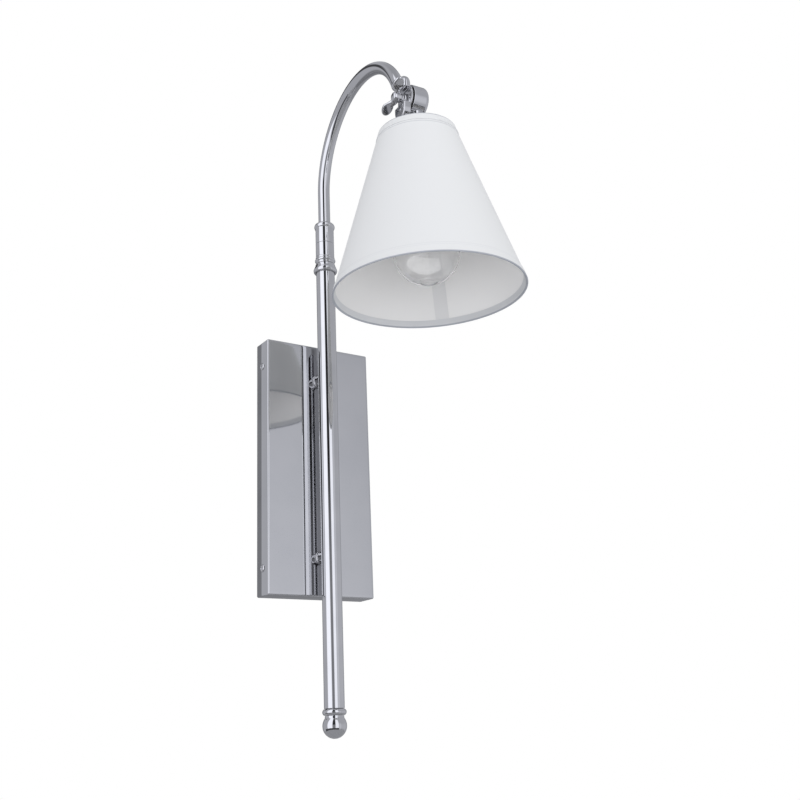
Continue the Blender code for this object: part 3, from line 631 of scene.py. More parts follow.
# %% Polish group
polish, given, put = new_group(
    "polish_marks",
    {"Scale": (FLOAT, 60.0), "Stretch": (VECTOR, (1.0, 1.0, 1.0))},
    {"Cloud": FLOAT, "Lines": FLOAT},
)
place = polish.nodes.new("ShaderNodeTexCoord").outputs["Object"]
cloud = polish.nodes.new("ShaderNodeTexNoise")
cloud.inputs["Detail"].default_value = 3.0
link(polish, place, cloud.inputs["Vector"])
link(polish, given["Scale"], cloud.inputs["Scale"])
link(polish, smooth_step(polish, cloud.outputs["Fac"], 0.35, 0.7), put["Cloud"])
drawn = polish.nodes.new("ShaderNodeVectorMath")
drawn.operation = "MULTIPLY"
link(polish, place, drawn.inputs[0])
link(polish, given["Stretch"], drawn.inputs[1])
lines = polish.nodes.new("ShaderNodeTexNoise")
lines.inputs["Detail"].default_value = 4.0
link(polish, drawn.outputs[0], lines.inputs["Vector"])
link(polish, math_node(polish, "MULTIPLY", given["Scale"], 8.0), lines.inputs["Scale"])
link(polish, lines.outputs["Fac"], put["Lines"])
print("polish group:", len(polish.nodes), "nodes")

# %% Weave group
# A thread is |sin(pi n x + wobble)| for n threads to the metre. The cloth's height is the higher of the two
# threads plus half their product, and slubs are a noise drawn out along the threads.
THREAD_WOBBLE = 2.2
WOBBLE_SCALE = 120.0
SLUB_SCALE = (900.0, 30.0, 1.0)

weave, given, put = new_group(
    "weave_and_edge_shade",
    {"Cloth": (VECTOR, (0.0, 0.0, 0.0)), "Threads": (FLOAT, 2200.0)},
    {"Height": FLOAT, "Slub": FLOAT, "PaintedShade": FLOAT},
)
split = weave.nodes.new("ShaderNodeSeparateXYZ")
link(weave, given["Cloth"], split.inputs[0])
wobble = weave.nodes.new("ShaderNodeTexNoise")
wobble.inputs["Scale"].default_value = WOBBLE_SCALE
link(weave, given["Cloth"], wobble.inputs["Vector"])
shift = math_node(weave, "MULTIPLY", wobble.outputs["Fac"], THREAD_WOBBLE)
thread = []
for axis in ("X", "Y"):
    turns = math_node(weave, "MULTIPLY", split.outputs[axis], given["Threads"])
    phase = math_node(weave, "ADD", math_node(weave, "MULTIPLY", turns, math.pi), shift)
    thread.append(math_node(weave, "ABSOLUTE", math_node(weave, "SINE", phase)))
over = math_node(weave, "MAXIMUM", thread[0], thread[1])
under = math_node(weave, "MULTIPLY", thread[0], thread[1])
link(weave, math_node(weave, "ADD", over, math_node(weave, "MULTIPLY", under, 0.5)), put["Height"])
long_way = weave.nodes.new("ShaderNodeMapping")
long_way.inputs["Scale"].default_value = SLUB_SCALE
link(weave, given["Cloth"], long_way.inputs["Vector"])
slub = weave.nodes.new("ShaderNodeTexNoise")
slub.inputs["Scale"].default_value = 1.0
slub.inputs["Detail"].default_value = 2.0
link(weave, long_way.outputs[0], slub.inputs["Vector"])
link(weave, slub.outputs["Fac"], put["Slub"])
print("weave:", len(weave.nodes), "nodes so far")

# %% Painted shade in the weave group
# The third output is painted shade. It is 1 on the very edge of a binding, where the fold turns away from the
# light.
# It has a lower value as a fine painted shadow where a binding laps the cloth, and as painted shade on a binding's
# inner leaf, where Y is negative.
# Where and how strongly the bindings get painted shade and painted shadow.
EDGE_SHADE_SPAN = (0.7 * MM, 1.8 * MM)
LAP = (7.9 * MM, 8.9 * MM, 0.4 * MM)
FOOT_LAP = (7.9 * MM, 8.7 * MM, 0.5 * MM)
INNER_LEAF = (-0.6 * MM, -1.2 * MM)
CLOTH_LENGTH = 166.9 * MM
LAP_TONE = 0.38
FOOT_TONE = 0.1
INNER_LEAF_SHADE = 0.36

from_edge = math_node(weave, "ABSOLUTE", split.outputs["Y"])
# Painted shade on the edge of each binding.
edge_shade = math_node(weave, "SUBTRACT", 1.0, smooth_step(weave, from_edge, *EDGE_SHADE_SPAN))
# Painted shadow where a binding's edge laps the cloth.
lap = math_node(weave, "MULTIPLY", window(weave, split.outputs["Y"], *LAP), LAP_TONE)
# Painted shade on a binding's inner leaf.
inner = math_node(weave, "MULTIPLY", smooth_step(weave, split.outputs["Y"], *INNER_LEAF), INNER_LEAF_SHADE)
# Painted shadow where the bottom binding laps the cloth.
from_foot = math_node(weave, "SUBTRACT", CLOTH_LENGTH, from_edge)
foot_lap = math_node(weave, "MULTIPLY", window(weave, from_foot, *FOOT_LAP), FOOT_TONE)
laps = math_node(weave, "MAXIMUM", math_node(weave, "MAXIMUM", lap, inner), foot_lap)
link(weave, math_node(weave, "MAXIMUM", edge_shade, laps), put["PaintedShade"])
print("weave group:", len(weave.nodes), "nodes")

# %% Moulded grain group
PATCH_SHARE = 0.05

grain, given, put = new_group(
    "moulded_grain", {"Scale": (FLOAT, 900.0)}, {"Height": FLOAT, "Patch": FLOAT}
)
place = grain.nodes.new("ShaderNodeTexCoord").outputs["Object"]
fine = grain.nodes.new("ShaderNodeTexNoise")
link(grain, place, fine.inputs["Vector"])
link(grain, given["Scale"], fine.inputs["Scale"])
link(grain, fine.outputs["Fac"], put["Height"])
broad = grain.nodes.new("ShaderNodeTexNoise")
link(grain, place, broad.inputs["Vector"])
link(grain, math_node(grain, "MULTIPLY", given["Scale"], PATCH_SHARE), broad.inputs["Scale"])
link(grain, broad.outputs["Fac"], put["Patch"])
print("grain group:", len(grain.nodes), "nodes")


# %% Material helpers
def new_material(name, **settings):
    """A node material and its Principled shader, with fixed values set on the shader's own sockets."""
    made = bpy.data.materials.new(name)
    made.use_nodes = True
    shader = made.node_tree.nodes["Principled BSDF"]
    for label, value in settings.items():
        socket = shader.inputs[label.replace("_", " ")]
        socket.default_value = (*value, 1.0) if isinstance(value, tuple) else value
    return made, made.node_tree, shader


def between(tree, mask, low, high):
    """A number that goes from low to high with the mask."""
    node = tree.nodes.new("ShaderNodeMapRange")
    link(tree, mask, node.inputs["Value"])
    node.inputs["To Min"].default_value = low
    node.inputs["To Max"].default_value = high
    return node.outputs["Result"]


def mixed(tree, mask, first, second):
    """A colour that goes from first to second with the mask."""
    node = tree.nodes.new("ShaderNodeMix")
    node.data_type = "RGBA"
    link(tree, mask, node.inputs[0])
    node.inputs[6].default_value = (*first, 1.0)
    node.inputs[7].default_value = (*second, 1.0)
    return node.outputs[2]


def bumped(tree, shader, height, distance, strength=1.0):
    """Feeds a height, in metres when multiplied by the distance, to a shader's Normal."""
    node = tree.nodes.new("ShaderNodeBump")
    node.inputs["Strength"].default_value = strength
    node.inputs["Distance"].default_value = distance
    link(tree, height, node.inputs["Height"])
    link(tree, node.outputs[0], shader.inputs["Normal"])


def metal(name, low, high, smooth, rough, scale, depth, stretch=(1.0, 1.0, 0.1)):
    """A metal whose colour and roughness drift with the cloud, and whose buffing lines are a fine bump."""
    made, tree, shader = new_material(name, Metallic=1.0)
    marks = use_group(tree, polish, Scale=scale, Stretch=stretch)
    link(tree, mixed(tree, marks["Cloud"], low, high), shader.inputs["Base Color"])
    link(tree, between(tree, marks["Cloud"], smooth, rough), shader.inputs["Roughness"])
    bumped(tree, shader, marks["Lines"], depth, 0.4)
    return made


# %% Metals
nickel = metal("polished_nickel", (0.665, 0.665, 0.675), (0.635, 0.637, 0.65), 0.03, 0.05, 45.0, 1.5e-7)
sheet_nickel = metal("polished_sheet", (0.645, 0.647, 0.66), (0.615, 0.62, 0.635), 0.035, 0.07, 18.0, 6e-8)
zinc = metal("zinc_plate", (0.58, 0.59, 0.60), (0.46, 0.48, 0.50), 0.28, 0.45, 120.0, 8e-6)
brass = metal("bare_brass", (0.80, 0.62, 0.30), (0.70, 0.52, 0.25), 0.18, 0.34, 90.0, 5e-6)
cap_metal = metal("bulb_cap", (0.74, 0.70, 0.62), (0.66, 0.60, 0.50), 0.2, 0.36, 140.0, 6e-6)
tungsten = metal("tungsten_wire", (0.30, 0.29, 0.28), (0.20, 0.19, 0.19), 0.35, 0.5, 400.0, 4e-6)
print("metals: nickel, sheet, zinc, brass, bulb cap, tungsten")

# %% Cloth, liner and glass
CLOTH_WHITE = (0.865, 0.87, 0.868)
CLOTH_SHADE = (0.865, 0.875, 0.88)
# Next, the grey-blue of the painted shade and painted shadow on the bindings.
PAINTED_SHADE_TONE = (0.42, 0.44, 0.485)
cloth, tree, shader = new_material("shade_linen", Roughness=0.85, Sheen_Weight=0.12, Sheen_Roughness=0.6)
own_uv = tree.nodes.new("ShaderNodeUVMap").outputs["UV"]
threads = use_group(tree, weave, Cloth=own_uv, Threads=1900.0)
plain = mixed(tree, threads["Slub"], CLOTH_SHADE, CLOTH_WHITE)
# The linen is mixed towards that grey-blue by the painted shade mask.
shade_mixed_cloth = tree.nodes.new("ShaderNodeMix")
shade_mixed_cloth.data_type = "RGBA"
link(tree, threads["PaintedShade"], shade_mixed_cloth.inputs[0])
link(tree, plain, shade_mixed_cloth.inputs[6])
shade_mixed_cloth.inputs[7].default_value = (*PAINTED_SHADE_TONE, 1.0)
link(tree, shade_mixed_cloth.outputs[2], shader.inputs["Base Color"])
bumped(tree, shader, threads["Height"], 3e-5, 0.35)



def lined(name, low, high, roughness, scale):
    """Smooth sheet plastic of one roughness, whose tone drifts a little."""
    made, tree, shader = new_material(name, Roughness=roughness)
    skin = use_group(tree, grain, Scale=scale)
    link(tree, mixed(tree, skin["Patch"], low, high), shader.inputs["Base Color"])
    bumped(tree, shader, skin["Height"], 1e-5, 0.3)
    return made


liner = lined("shade_liner", (0.86, 0.855, 0.85), (0.89, 0.885, 0.88), 0.42, 260.0)
glue = lined("liner_overlap", (0.745, 0.745, 0.75), (0.78, 0.78, 0.785), 0.5, 400.0)

# The thin coat with its own roughness spreads the lamp's reflection softly over the clear glass.
glass, tree, shader = new_material(
    "clear_glass", Base_Color=(1.0, 1.0, 1.0), Transmission_Weight=0.96, IOR=1.5, Metallic=0.0,
    Coat_Weight=1.0, Coat_Roughness=0.3,
)
film = use_group(tree, polish, Scale=35.0)
link(tree, between(tree, film["Cloud"], 0.0, 0.02), shader.inputs["Roughness"])
print("cloth, liner, overlap and glass")


# %% Plastics
def plastic(name, low, high, roughness, scale):
    """Moulded plastic: tone and roughness drift together over a fine grain."""
    made, tree, shader = new_material(name)
    skin = use_group(tree, grain, Scale=scale)
    link(tree, mixed(tree, skin["Patch"], low, high), shader.inputs["Base Color"])
    link(tree, between(tree, skin["Patch"], roughness - 0.06, roughness + 0.06), shader.inputs["Roughness"])
    bumped(tree, shader, skin["Height"], 1.2e-5, 0.5)
    return made


phenolic = plastic("black_phenolic", (0.022, 0.022, 0.023), (0.034, 0.032, 0.031), 0.4, 700.0)
white_plastic = plastic("white_plastic", (0.80, 0.80, 0.78), (0.86, 0.86, 0.84), 0.38, 600.0)
fibre = plastic("black_fibre", (0.045, 0.042, 0.038), (0.07, 0.064, 0.058), 0.72, 900.0)
sleeve = plastic("lead_sleeve", (0.74, 0.73, 0.68), (0.80, 0.79, 0.75), 0.55, 800.0)
print("plastics: phenolic, white, fibre, sleeve")

# %% [markdown]
# ## Solids that keep their shape
#
# The bracket, nuts, nipples, terminal block and washers are right as they are and sit inside the lamp.
# They only need a finish. The record says which material slot each one has, so the finish follows it.

# %% Finishes for the plain solids
SLOT_FINISH = {
    "polished_nickel": nickel, "zinc_plated_steel": zinc, "brass": brass, "white_fabric": cloth,
    "black_phenolic": phenolic, "white_plastic": white_plastic, "black_fibre": fibre,
    "clear_glass": glass, "tungsten": tungsten, "lead_sleeve": sleeve,
}
slot_of = {row["node"]: row["material_slot"] for row in frame["record"]["subparts"]}
for name, node in frame["nodes"].items():
    node.data.materials.clear()
    node.data.materials.append(SLOT_FINISH[slot_of[name]])
print("finished", len(slot_of), "solids")

# %% [markdown]
# ## Wall box
#
# The cover is sheet metal folded into a shallow box: a flat front, rounded folds and open at the wall.
# Its front is the largest mirror on the lamp, and a real one is never quite flat, so the surface is a
# rounded rectangle whose front swells by a few hundredths of a millimetre. That is enough to bend what
# it reflects. A fold's radius is what catches the bright line down its edge.

# %% Wall box cover
COVER_FOLD = 1.5 * MM
COVER_SHEET = 1.2 * MM
SWELL = 0.05 * MM

low, high = box_of("backplate_cover")
cover_front = low[1]
half_width = (high[0] - low[0]) / 2
half_height = (high[2] - low[2]) / 2


def rounded_rectangle(half_x, half_z, radius, corner_steps=8, side_steps=24):
    """Points round a rectangle whose corners are quarter circles, with points along the sides too."""
    radius = min(radius, half_x, half_z)
    turns = []
    for start, sign_x, sign_z in ((0, 1, 1), (90, -1, 1), (180, -1, -1), (270, 1, -1)):
        centre = (sign_x * (half_x - radius), sign_z * (half_z - radius))
        turns.append(circle_arc(centre, radius, start, start + 90, corner_steps))
    outline = []
    for arc, following in zip(turns, turns[1:] + turns[:1]):
        t = np.linspace(0.0, 1.0, side_steps + 1)[1:-1, None]
        outline += [arc, arc[-1] * (1 - t) + following[0] * t]
    outline = np.concatenate(outline)
    return np.concatenate([outline, outline[:1]])


def box_rows(fold):
    """(inset, depth in front of the wall) from the open back edge round the fold to the front."""
    angle = np.linspace(0.0, math.pi / 2, 9)
    inset = fold * (1 - np.cos(angle))
    depth = -cover_front - fold * (1 - np.sin(angle))
    return [(0.0, 0.0), (0.0, -cover_front / 2), *zip(inset, depth)]


rows = []
for inset, depth in box_rows(COVER_FOLD):
    outline = rounded_rectangle(half_width - inset, half_height - inset, max(COVER_FOLD - inset, 1e-5))
    rows.append(np.stack([outline[:, 0], np.full(len(outline), -depth), outline[:, 1]], axis=-1))
last = rows[-1]
for share in np.linspace(0.98, 0.0, 16):
    flat = last * [share, 1.0, share]
    bulge = SWELL * (1 - np.abs(flat[:, 0] / half_width) ** 3) * (1 - np.abs(flat[:, 2] / half_height) ** 3)
    flat[:, 1] = -bulge + cover_front
    rows.append(flat)
cover_mesh = grid_mesh("backplate_cover_skin", np.array(rows))
cover = new_piece(
    "wall_box_cover", cover_mesh, sheet_nickel, "base", ["backplate_cover"], corner=60.0
)
sheet = cover.modifiers.new("sheet", "SOLIDIFY")
sheet.thickness = COVER_SHEET
sheet.offset = -1.0
sheet.use_even_offset = True
print("cover", round(2 * half_width / MM, 1), "x", round(2 * half_height / MM, 1), "mm")

# %% [markdown]
# ### Cover screws
#
# Four small round-head screws hold the box from its sides. A head is a height over a disc: a dome, less a
# cross-shaped recess whose walls fall steeply. The recess is a product of soft steps, so the whole head
# is one smooth function of radius and angle.

# %% Cover screws
HEAD_RADIUS = 3.6 * MM
HEAD_HEIGHT = 1.4 * MM
CROSS_ARM = 2.3 * MM
CROSS_WIDTH = 0.6 * MM
CROSS_DEPTH = 1.0 * MM
DOME_SHARE = 0.93


def soft_inside(value, edge, soft):
    """1 well inside the edge, 0 well outside it."""
    t = np.clip((edge - value) / soft + 0.5, 0.0, 1.0)
    return t * t * (3 - 2 * t)


def screw_head(rings=36, steps=96):
    """Height h sqrt(1 - k (r/R)^2) less the cross, then straight down the rim to the seat.

    The share k under 1 leaves the dome a short upright rim."""
    radius = np.linspace(0.0, HEAD_RADIUS, rings)[:, None]
    angle = np.linspace(0.0, 2 * math.pi, steps + 1)[None]
    x, y = radius * np.cos(angle), radius * np.sin(angle)
    dome = HEAD_HEIGHT * np.sqrt(1.0 - DOME_SHARE * (radius / HEAD_RADIUS) ** 2) + 0 * angle
    one = soft_inside(abs(x), CROSS_WIDTH, 0.25 * MM) * soft_inside(abs(y), CROSS_ARM, 0.3 * MM)
    two = soft_inside(abs(y), CROSS_WIDTH, 0.25 * MM) * soft_inside(abs(x), CROSS_ARM, 0.3 * MM)
    height = dome - CROSS_DEPTH * np.maximum(one, two)
    top = np.stack([x, y, height], axis=-1)
    rim = np.stack([x[-1], y[-1], np.zeros(steps + 1)], axis=-1)[None]
    foot = np.zeros((1, steps + 1, 3))
    return np.concatenate([top, rim, foot])


for level in ("lower", "upper"):
    for hand, way in (("left", -1), ("right", 1)):
        node = f"cover_screw_{level}_{hand}"
        centre = middle(node)
        seat = np.array([way * (half_width + 0.05 * MM), centre[1], centre[2]])
        points = placed(screw_head(), axes(seat, (0, 0, 1), (way, 0, 0)))
        new_piece(f"{node}_head", grid_mesh(node, points), nickel, "base", [node])
print("screw heads: 4")

# %% [markdown]
# ## Stem and standoffs
#
# The stem is a plain tube. The two standoffs are short posts whose ends are hollowed to fit round the
# stem, so a post's length depends on how far round it you are: the end lies on the stem's cylinder, at
# depth sqrt(R^2 - x^2) from the stem's axis.

# %% Stem tube
STEM_RADIUS = 9.5 * MM
STEM_WALL = 1.4 * MM
EDGE = 0.35 * MM

low, high = box_of("stem_tube")
stem_bottom, stem_top = low[2], high[2]
profile = ring(
    [(STEM_RADIUS, stem_top), (STEM_RADIUS, stem_bottom), (STEM_RADIUS - STEM_WALL, stem_bottom),
     (STEM_RADIUS - STEM_WALL, stem_top)], EDGE
)
stem_points = placed(spun(profile, 128), STEM)
new_piece("stem", grid_mesh("stem", stem_points), nickel, "base", ["stem_tube"])
print("stem", round((stem_top - stem_bottom) / MM, 1), "mm long")

# %% Standoffs
POST_RADIUS = 6.2 * MM
FLANGE_RADIUS = 7.4 * MM
FLANGE_THICK = 1.3 * MM


def standoff(node, steps=96):
    """Rows from the wall end's middle out over the flange, along the post, and in over the saddle.

    The saddle lies sqrt((R + gap)^2 - x^2) behind the stem's axis, so the post fits round the stem."""
    centre = middle(node)
    wall_end = cover_front - 0.1 * MM
    angle = np.linspace(0.0, 2 * math.pi, steps + 1)
    profile = softened(
        [(0.0, 0.0), (FLANGE_RADIUS, 0.0), (FLANGE_RADIUS, FLANGE_THICK), (POST_RADIUS, FLANGE_THICK),
         (POST_RADIUS, 5.0 * MM)], 0.35 * MM
    )
    rows = []
    for radius, reach in profile:
        y = np.full(steps + 1, wall_end - reach)
        rows.append(np.stack([radius * np.cos(angle), y, centre[2] + radius * np.sin(angle)], -1))
    grip = STEM_RADIUS + 0.15 * MM
    for share in (1.0, 0.96, 0.8, 0.5, 0.0):
        x = POST_RADIUS * share * np.cos(angle)
        y = stem_place[1] + np.sqrt(grip**2 - x**2)
        rows.append(np.stack([x, y, centre[2] + POST_RADIUS * share * np.sin(angle)], -1))
    return grid_mesh(node, np.array(rows))


for node in ("standoff_lower", "standoff_upper"):
    new_piece(f"{node}_post", standoff(node), nickel, "base", [node])
print("standoffs: 2")

# %% [markdown]
# ## Turned fittings on the stem
#
# The finial, the bell and the two collars come off a lathe. Their profiles are short lists of corners
# and arcs, with the corners softened the way a turner breaks an edge. The seam between the fixed and the
# turning collar is a real gap of a third of a millimetre, which is why it shows as a fine dark line.

# %% Finial, bell and collars
seam = (box_of("stem_collar")[1][2] + box_of("swivel_collar")[0][2]) / 2
finial_seat = box_of("finial_bead")[1][2]
FITTING_BORE = 4.6 * MM
SEAM_GAP = 0.3 * MM


def fitting(name, node, profile, body="base", matrix=STEM, steps=128, material=nickel):
    """A piece off the lathe that stands for one solid of the working model."""
    mesh = grid_mesh(name, placed(spun(profile, steps), matrix))
    return new_piece(name, mesh, material, body, [node], corner=30.0)


bead_centre = (7.9 * MM, finial_seat - 2.9 * MM)
bead_low = finial_seat - 5.8 * MM
bead = [(FITTING_BORE, finial_seat), (8.9 * MM, finial_seat)]
bead += list(circle_arc(bead_centre, 3.2 * MM, 60, -62, 18))
bead += [(8.6 * MM, bead_low), (FITTING_BORE, bead_low), (FITTING_BORE, finial_seat)]
fitting("finial_ring", "finial_bead", bead)

ball_low, ball_high = box_of("finial_ball")
BALL_RADIUS = 11.2 * MM
ball_centre = ball_low[2] + BALL_RADIUS
ball = [(0.0, ball_high[2]), (4.0 * MM, ball_high[2]), (4.0 * MM, bead_low - 0.2 * MM)]
ball += [(8.7 * MM, bead_low - 0.2 * MM), (8.8 * MM, bead_low - 1.0 * MM)]
ball += list(circle_arc((0.0, ball_centre), BALL_RADIUS, 37, -90, 48))
ball[-1] = (0.0, ball_low[2])
fitting("finial_knob", "finial_ball", ball)

bell_low, bell_high = box_of("stem_bell")
slip = STEM_RADIUS + 0.12 * MM
bell = ring(
    [(10.1, 9.2), (10.3, 8.0), (11.2, 5.5), (12.15, 3.4), (12.2, 2.0), (11.6, 0.3), (10.8, 0.0),
     (slip / MM, 0.0), (slip / MM, 9.2)], 0.9, 5
) * MM + [0.0, bell_low[2]]
fitting("stem_bell_ring", "stem_bell", bell)

collar_bead = (8.7 * MM, stem_top + 4.2 * MM)
collar_top = seam - SEAM_GAP / 2
collar_foot = stem_top + 0.3 * MM
collar = [(STEM_RADIUS, collar_top), (STEM_RADIUS, stem_top + 8.0 * MM), (9.9 * MM, stem_top + 7.4 * MM)]
collar += [*circle_arc(collar_bead, 1.9 * MM, 62, -62, 10), (9.4 * MM, collar_foot)]
collar += [(FITTING_BORE, collar_foot), (FITTING_BORE, collar_top), collar[0]]
fitting("lower_collar", "stem_collar", softened(collar, EDGE))

TUBE_SLIP = 6.35 * MM
swivel_low, swivel_high = box_of("swivel_collar")
shoulder = swivel_high[2]
top_bead = (7.2 * MM, shoulder - 3.7 * MM)
upper = [(TUBE_SLIP, shoulder), (7.0 * MM, shoulder), *circle_arc(top_bead, 3.5 * MM, 78, -48, 18)]
upper_foot = seam + SEAM_GAP / 2
tube_stop = shoulder - 9.0 * MM
upper += [(STEM_RADIUS, shoulder - 7.2 * MM), (STEM_RADIUS, upper_foot), (FITTING_BORE, upper_foot)]
upper += [(FITTING_BORE, tube_stop), (TUBE_SLIP, tube_stop), (TUBE_SLIP, shoulder)]
fitting("upper_collar", "swivel_collar", softened(upper, EDGE), "arm", ARM)
print("turned fittings: finial ring and knob, bell, two collars")

# %% [markdown]
# ## Arm
#
# The arm is one tube: straight out of the collar, then bent on a former through more than half a circle.
# Its centre line is a straight run and one arc. The wall is real, so the path is swept twice, outside
# forwards and inside backwards, and the two skins meet at both ends.

# %% Arm tube
ARM_RADIUS = 6.2 * MM
ARM_WALL = 0.9 * MM
ARM_BEND = 86.3 * MM
ARM_BEND_LEVEL = 294.6 * MM
ARM_END = math.radians(22.0)


def arm_line(end, count=120):
    """Up from the collar, then reach = B (1 + cos a) and height = level + B sin a, as a falls from 180."""
    foot = box_of("arm_tube")[0][2]
    rise = np.linspace(foot, ARM_BEND_LEVEL, 12)[:-1]
    straight = np.stack([0 * rise, 0 * rise, rise], axis=-1)
    angle = np.linspace(math.pi, end, count)
    reach = ARM_BEND * (1 + np.cos(angle))
    bend = np.stack([0 * angle, -reach, ARM_BEND_LEVEL + ARM_BEND * np.sin(angle)], axis=-1)
    return np.concatenate([straight, bend])


line = arm_line(ARM_END)
outer_skin = swept(line, ARM_RADIUS, 48)
inner_skin = swept(line, ARM_RADIUS - ARM_WALL, 48)[::-1]
arm_points = np.concatenate([outer_skin, inner_skin, outer_skin[:1]])
arm_mesh = grid_mesh("arm", placed(arm_points, ARM))
new_piece("bent_arm", arm_mesh, nickel, "arm", ["arm_tube"])
print("arm: bend radius", round(ARM_BEND / MM, 1), "mm")

# %% [markdown]
# ## Knuckle, arm side
#
# The arm ends in a cast ear: a thin disc that faces the drum, with a thick lug above the screw, which the
# tube runs into, and another below it with a small screw of its own. Each lug is an outline with a
# rounded rim. The forms are joined by a Boolean, because casting leaves no gap where they meet.

# %% Ear with two lugs
EAR_LEFT = -9.0 * MM
EAR_RIGHT = -1.3 * MM
EAR_WEB = 1.5 * MM
EAR_RADIUS = 13.4 * MM
LUG_RADIUS = 9.6 * MM
LUG_CENTRE = 12.5 * MM
LUG_FLAT = 7.5 * MM
SHANK_RADIUS = 3.0 * MM
WEB_CLEARANCE = 0.15 * MM


def lug_outline():
    """A half circle on a short straight-sided foot, counter-clockwise, with points along the sides."""
    foot = LUG_CENTRE - LUG_FLAT
    top = circle_arc((0.0, 0.0), LUG_RADIUS, 0, 180, 40)
    corners = [(-LUG_RADIUS, -foot), (LUG_RADIUS, -foot)]
    return np.concatenate([top, softened([top[-1], *corners, top[0]], 1.0 * MM, 6)[1:-1]])


def along_hinge(profile, steps=96):
    """A turned form whose axis is the hinge: height runs along the hinge's X."""
    return spun(profile, steps) @ np.array([[0, 1, 0], [0, 0, 1], [1, 0, 0]], float)


def disc_profile(radius, near, far, edge):
    """Half section of a disc with softened rims, from one pole to the other."""
    return softened([(0.0, far), (radius, far), (radius, near), (0.0, near)], edge, 5)


def lug(level, lean, rim):
    """A lug standing on the disc: outline in the plane square to the hinge, thick along it.

    Its face stops short of the disc's, because a Boolean wants no two faces in one plane."""
    flip = 1.0 if level > 0 else -1.0
    right = EAR_RIGHT - WEB_CLEARANCE
    slab = rounded_slab(lug_outline(), (0.0, 0.0), right - EAR_LEFT, rim, 8)
    x = slab[..., 2] + (EAR_LEFT + right) / 2
    return placed(np.stack([x, lean + slab[..., 0], level + flip * slab[..., 1]], -1), HINGE)


web = disc_profile(EAR_RADIUS, EAR_RIGHT - EAR_WEB, EAR_RIGHT, 0.4 * MM)
web = grid_mesh("web", placed(along_hinge(web), HINGE))
upper_lug = grid_mesh("upper_lug", lug(LUG_CENTRE, -1.5 * MM, 3.2 * MM))
lower_lug = grid_mesh("lower_lug", lug(-LUG_CENTRE, 0.0, 1.6 * MM))
end_point, before = line[-1], line[-2]
end_way = (end_point - before) / np.linalg.norm(end_point - before)
tube_radius = ARM_RADIUS / MM
stalk_profile = softened(
    [(0.0, -4.0), (5.0, -4.0), (5.0, 0.1), (tube_radius, 0.1), (tube_radius, 1.6), (5.0, 5.0), (3.0, 8.0),
     (0.0, 8.0)], 0.6, 4
) * MM
stalk_frame = turned_by(ARM, end_point, (1, 0, 0), end_way)
stalk = grid_mesh("stalk", placed(spun(stalk_profile, 64), stalk_frame))
shank_hole = disc_profile(SHANK_RADIUS + 0.2 * MM, -12 * MM, 2 * MM, 0.1 * MM)
shank_hole = grid_mesh("hole", placed(along_hinge(shank_hole, 48), HINGE))
small_seat = disc_profile(2.2 * MM, EAR_LEFT - 2 * MM, EAR_LEFT + 2.6 * MM, 0.2 * MM)
small_hole = along_hinge(small_seat, 40) + [0.0, 0.0, -LUG_CENTRE]
small_hole = grid_mesh("hole", placed(small_hole, HINGE))
ear_mesh = united("ear", web, upper_lug, lower_lug, stalk)
ear_mesh = united("ear", ear_mesh, shank_hole, small_hole, operation="DIFFERENCE")
new_piece("arm_ear_casting", ear_mesh, nickel, "arm", ["arm_ear"], 32.0, weighted=True)
print("ear:", len(ear_mesh.polygons), "faces")

# %% Lug screw
button = softened([(0.0, 1.1), (1.1, 0.95), (1.9, 0.3), (1.9, -2.4), (0.0, -2.4)], 0.3, 4) * MM
facing_left = along_hinge(button, 40) * [-1.0, 1.0, 1.0] + [EAR_LEFT + 0.9 * MM, 0.0, -LUG_CENTRE]
button_mesh = grid_mesh("lug_screw", placed(facing_left, HINGE))
new_piece("lug_screw", button_mesh, zinc, "arm", ["ear_screw"])
print("lug screw:", len(button_mesh.polygons), "faces")

# %% [markdown]
# ## Wing screw
#
# The screw's barrel is turned, with a rounded end and a flange where it bears on the ear.
# Its two wings are drop forged: flat lobes opposite each other, thick at the root and rounded all over.
# Each is an outline with a rim that is nearly a half circle, turned about the barrel to its place.

# %% Wing screw
WING_ANGLE = math.radians(30.0)
WING_THICK = 2.8 * MM
WING_RIM = 0.45 * WING_THICK
WING_MIDDLE = (-13.8 * MM, 9.8 * MM)
ROOT_EXTRA = 0.35
ROOT_REACH = 8 * MM
ROOT_FADE = 5 * MM

barrel = softened(
    [(0.0, 9.5), (3.0, 9.5), (3.0, -3.1), (5.4, -3.1), (5.4, -4.9), (4.2, -6.6), (4.6, -8.0), (4.6, -13.2),
     (4.2, -15.2), (2.4, -16.1), (0.0, -16.2)], 0.7, 5
) * MM
barrel_mesh = grid_mesh("barrel", placed(along_hinge(barrel, 64), HINGE))


def wing_outline():
    """(along the hinge, out from it): a waist at the barrel that opens into an oval lobe."""
    lobe = circle_arc((0.0, 0.0), 1.0, -30, 195, 36) * [5.2, 7.6] + [-15.5, 12.4]
    root = [(-14.6, 3.4), (-8.6, 3.4), (-9.3, 6.2)]
    closed = softened([lobe[-1], (-17.0, 6.6), *root, lobe[0]], 1.8, 6)
    return np.concatenate([lobe, closed[1:-1]]) * MM


def wing(turn_by):
    """The outline's plane holds the hinge axis, and is turned about it from straight out.

    The thickness grows by a third from ROOT_REACH in towards the barrel."""
    slab = rounded_slab(wing_outline(), WING_MIDDLE, WING_THICK, WING_RIM, 8)
    reach = slab[..., 1]
    sway = slab[..., 2] * (1.0 + ROOT_EXTRA * np.clip((ROOT_REACH - reach) / ROOT_FADE, 0.0, 1.0))
    y = -reach * math.cos(turn_by) - sway * math.sin(turn_by)
    z = reach * math.sin(turn_by) - sway * math.cos(turn_by)
    return grid_mesh("wing", placed(np.stack([slab[..., 0], y, z], -1), HINGE))


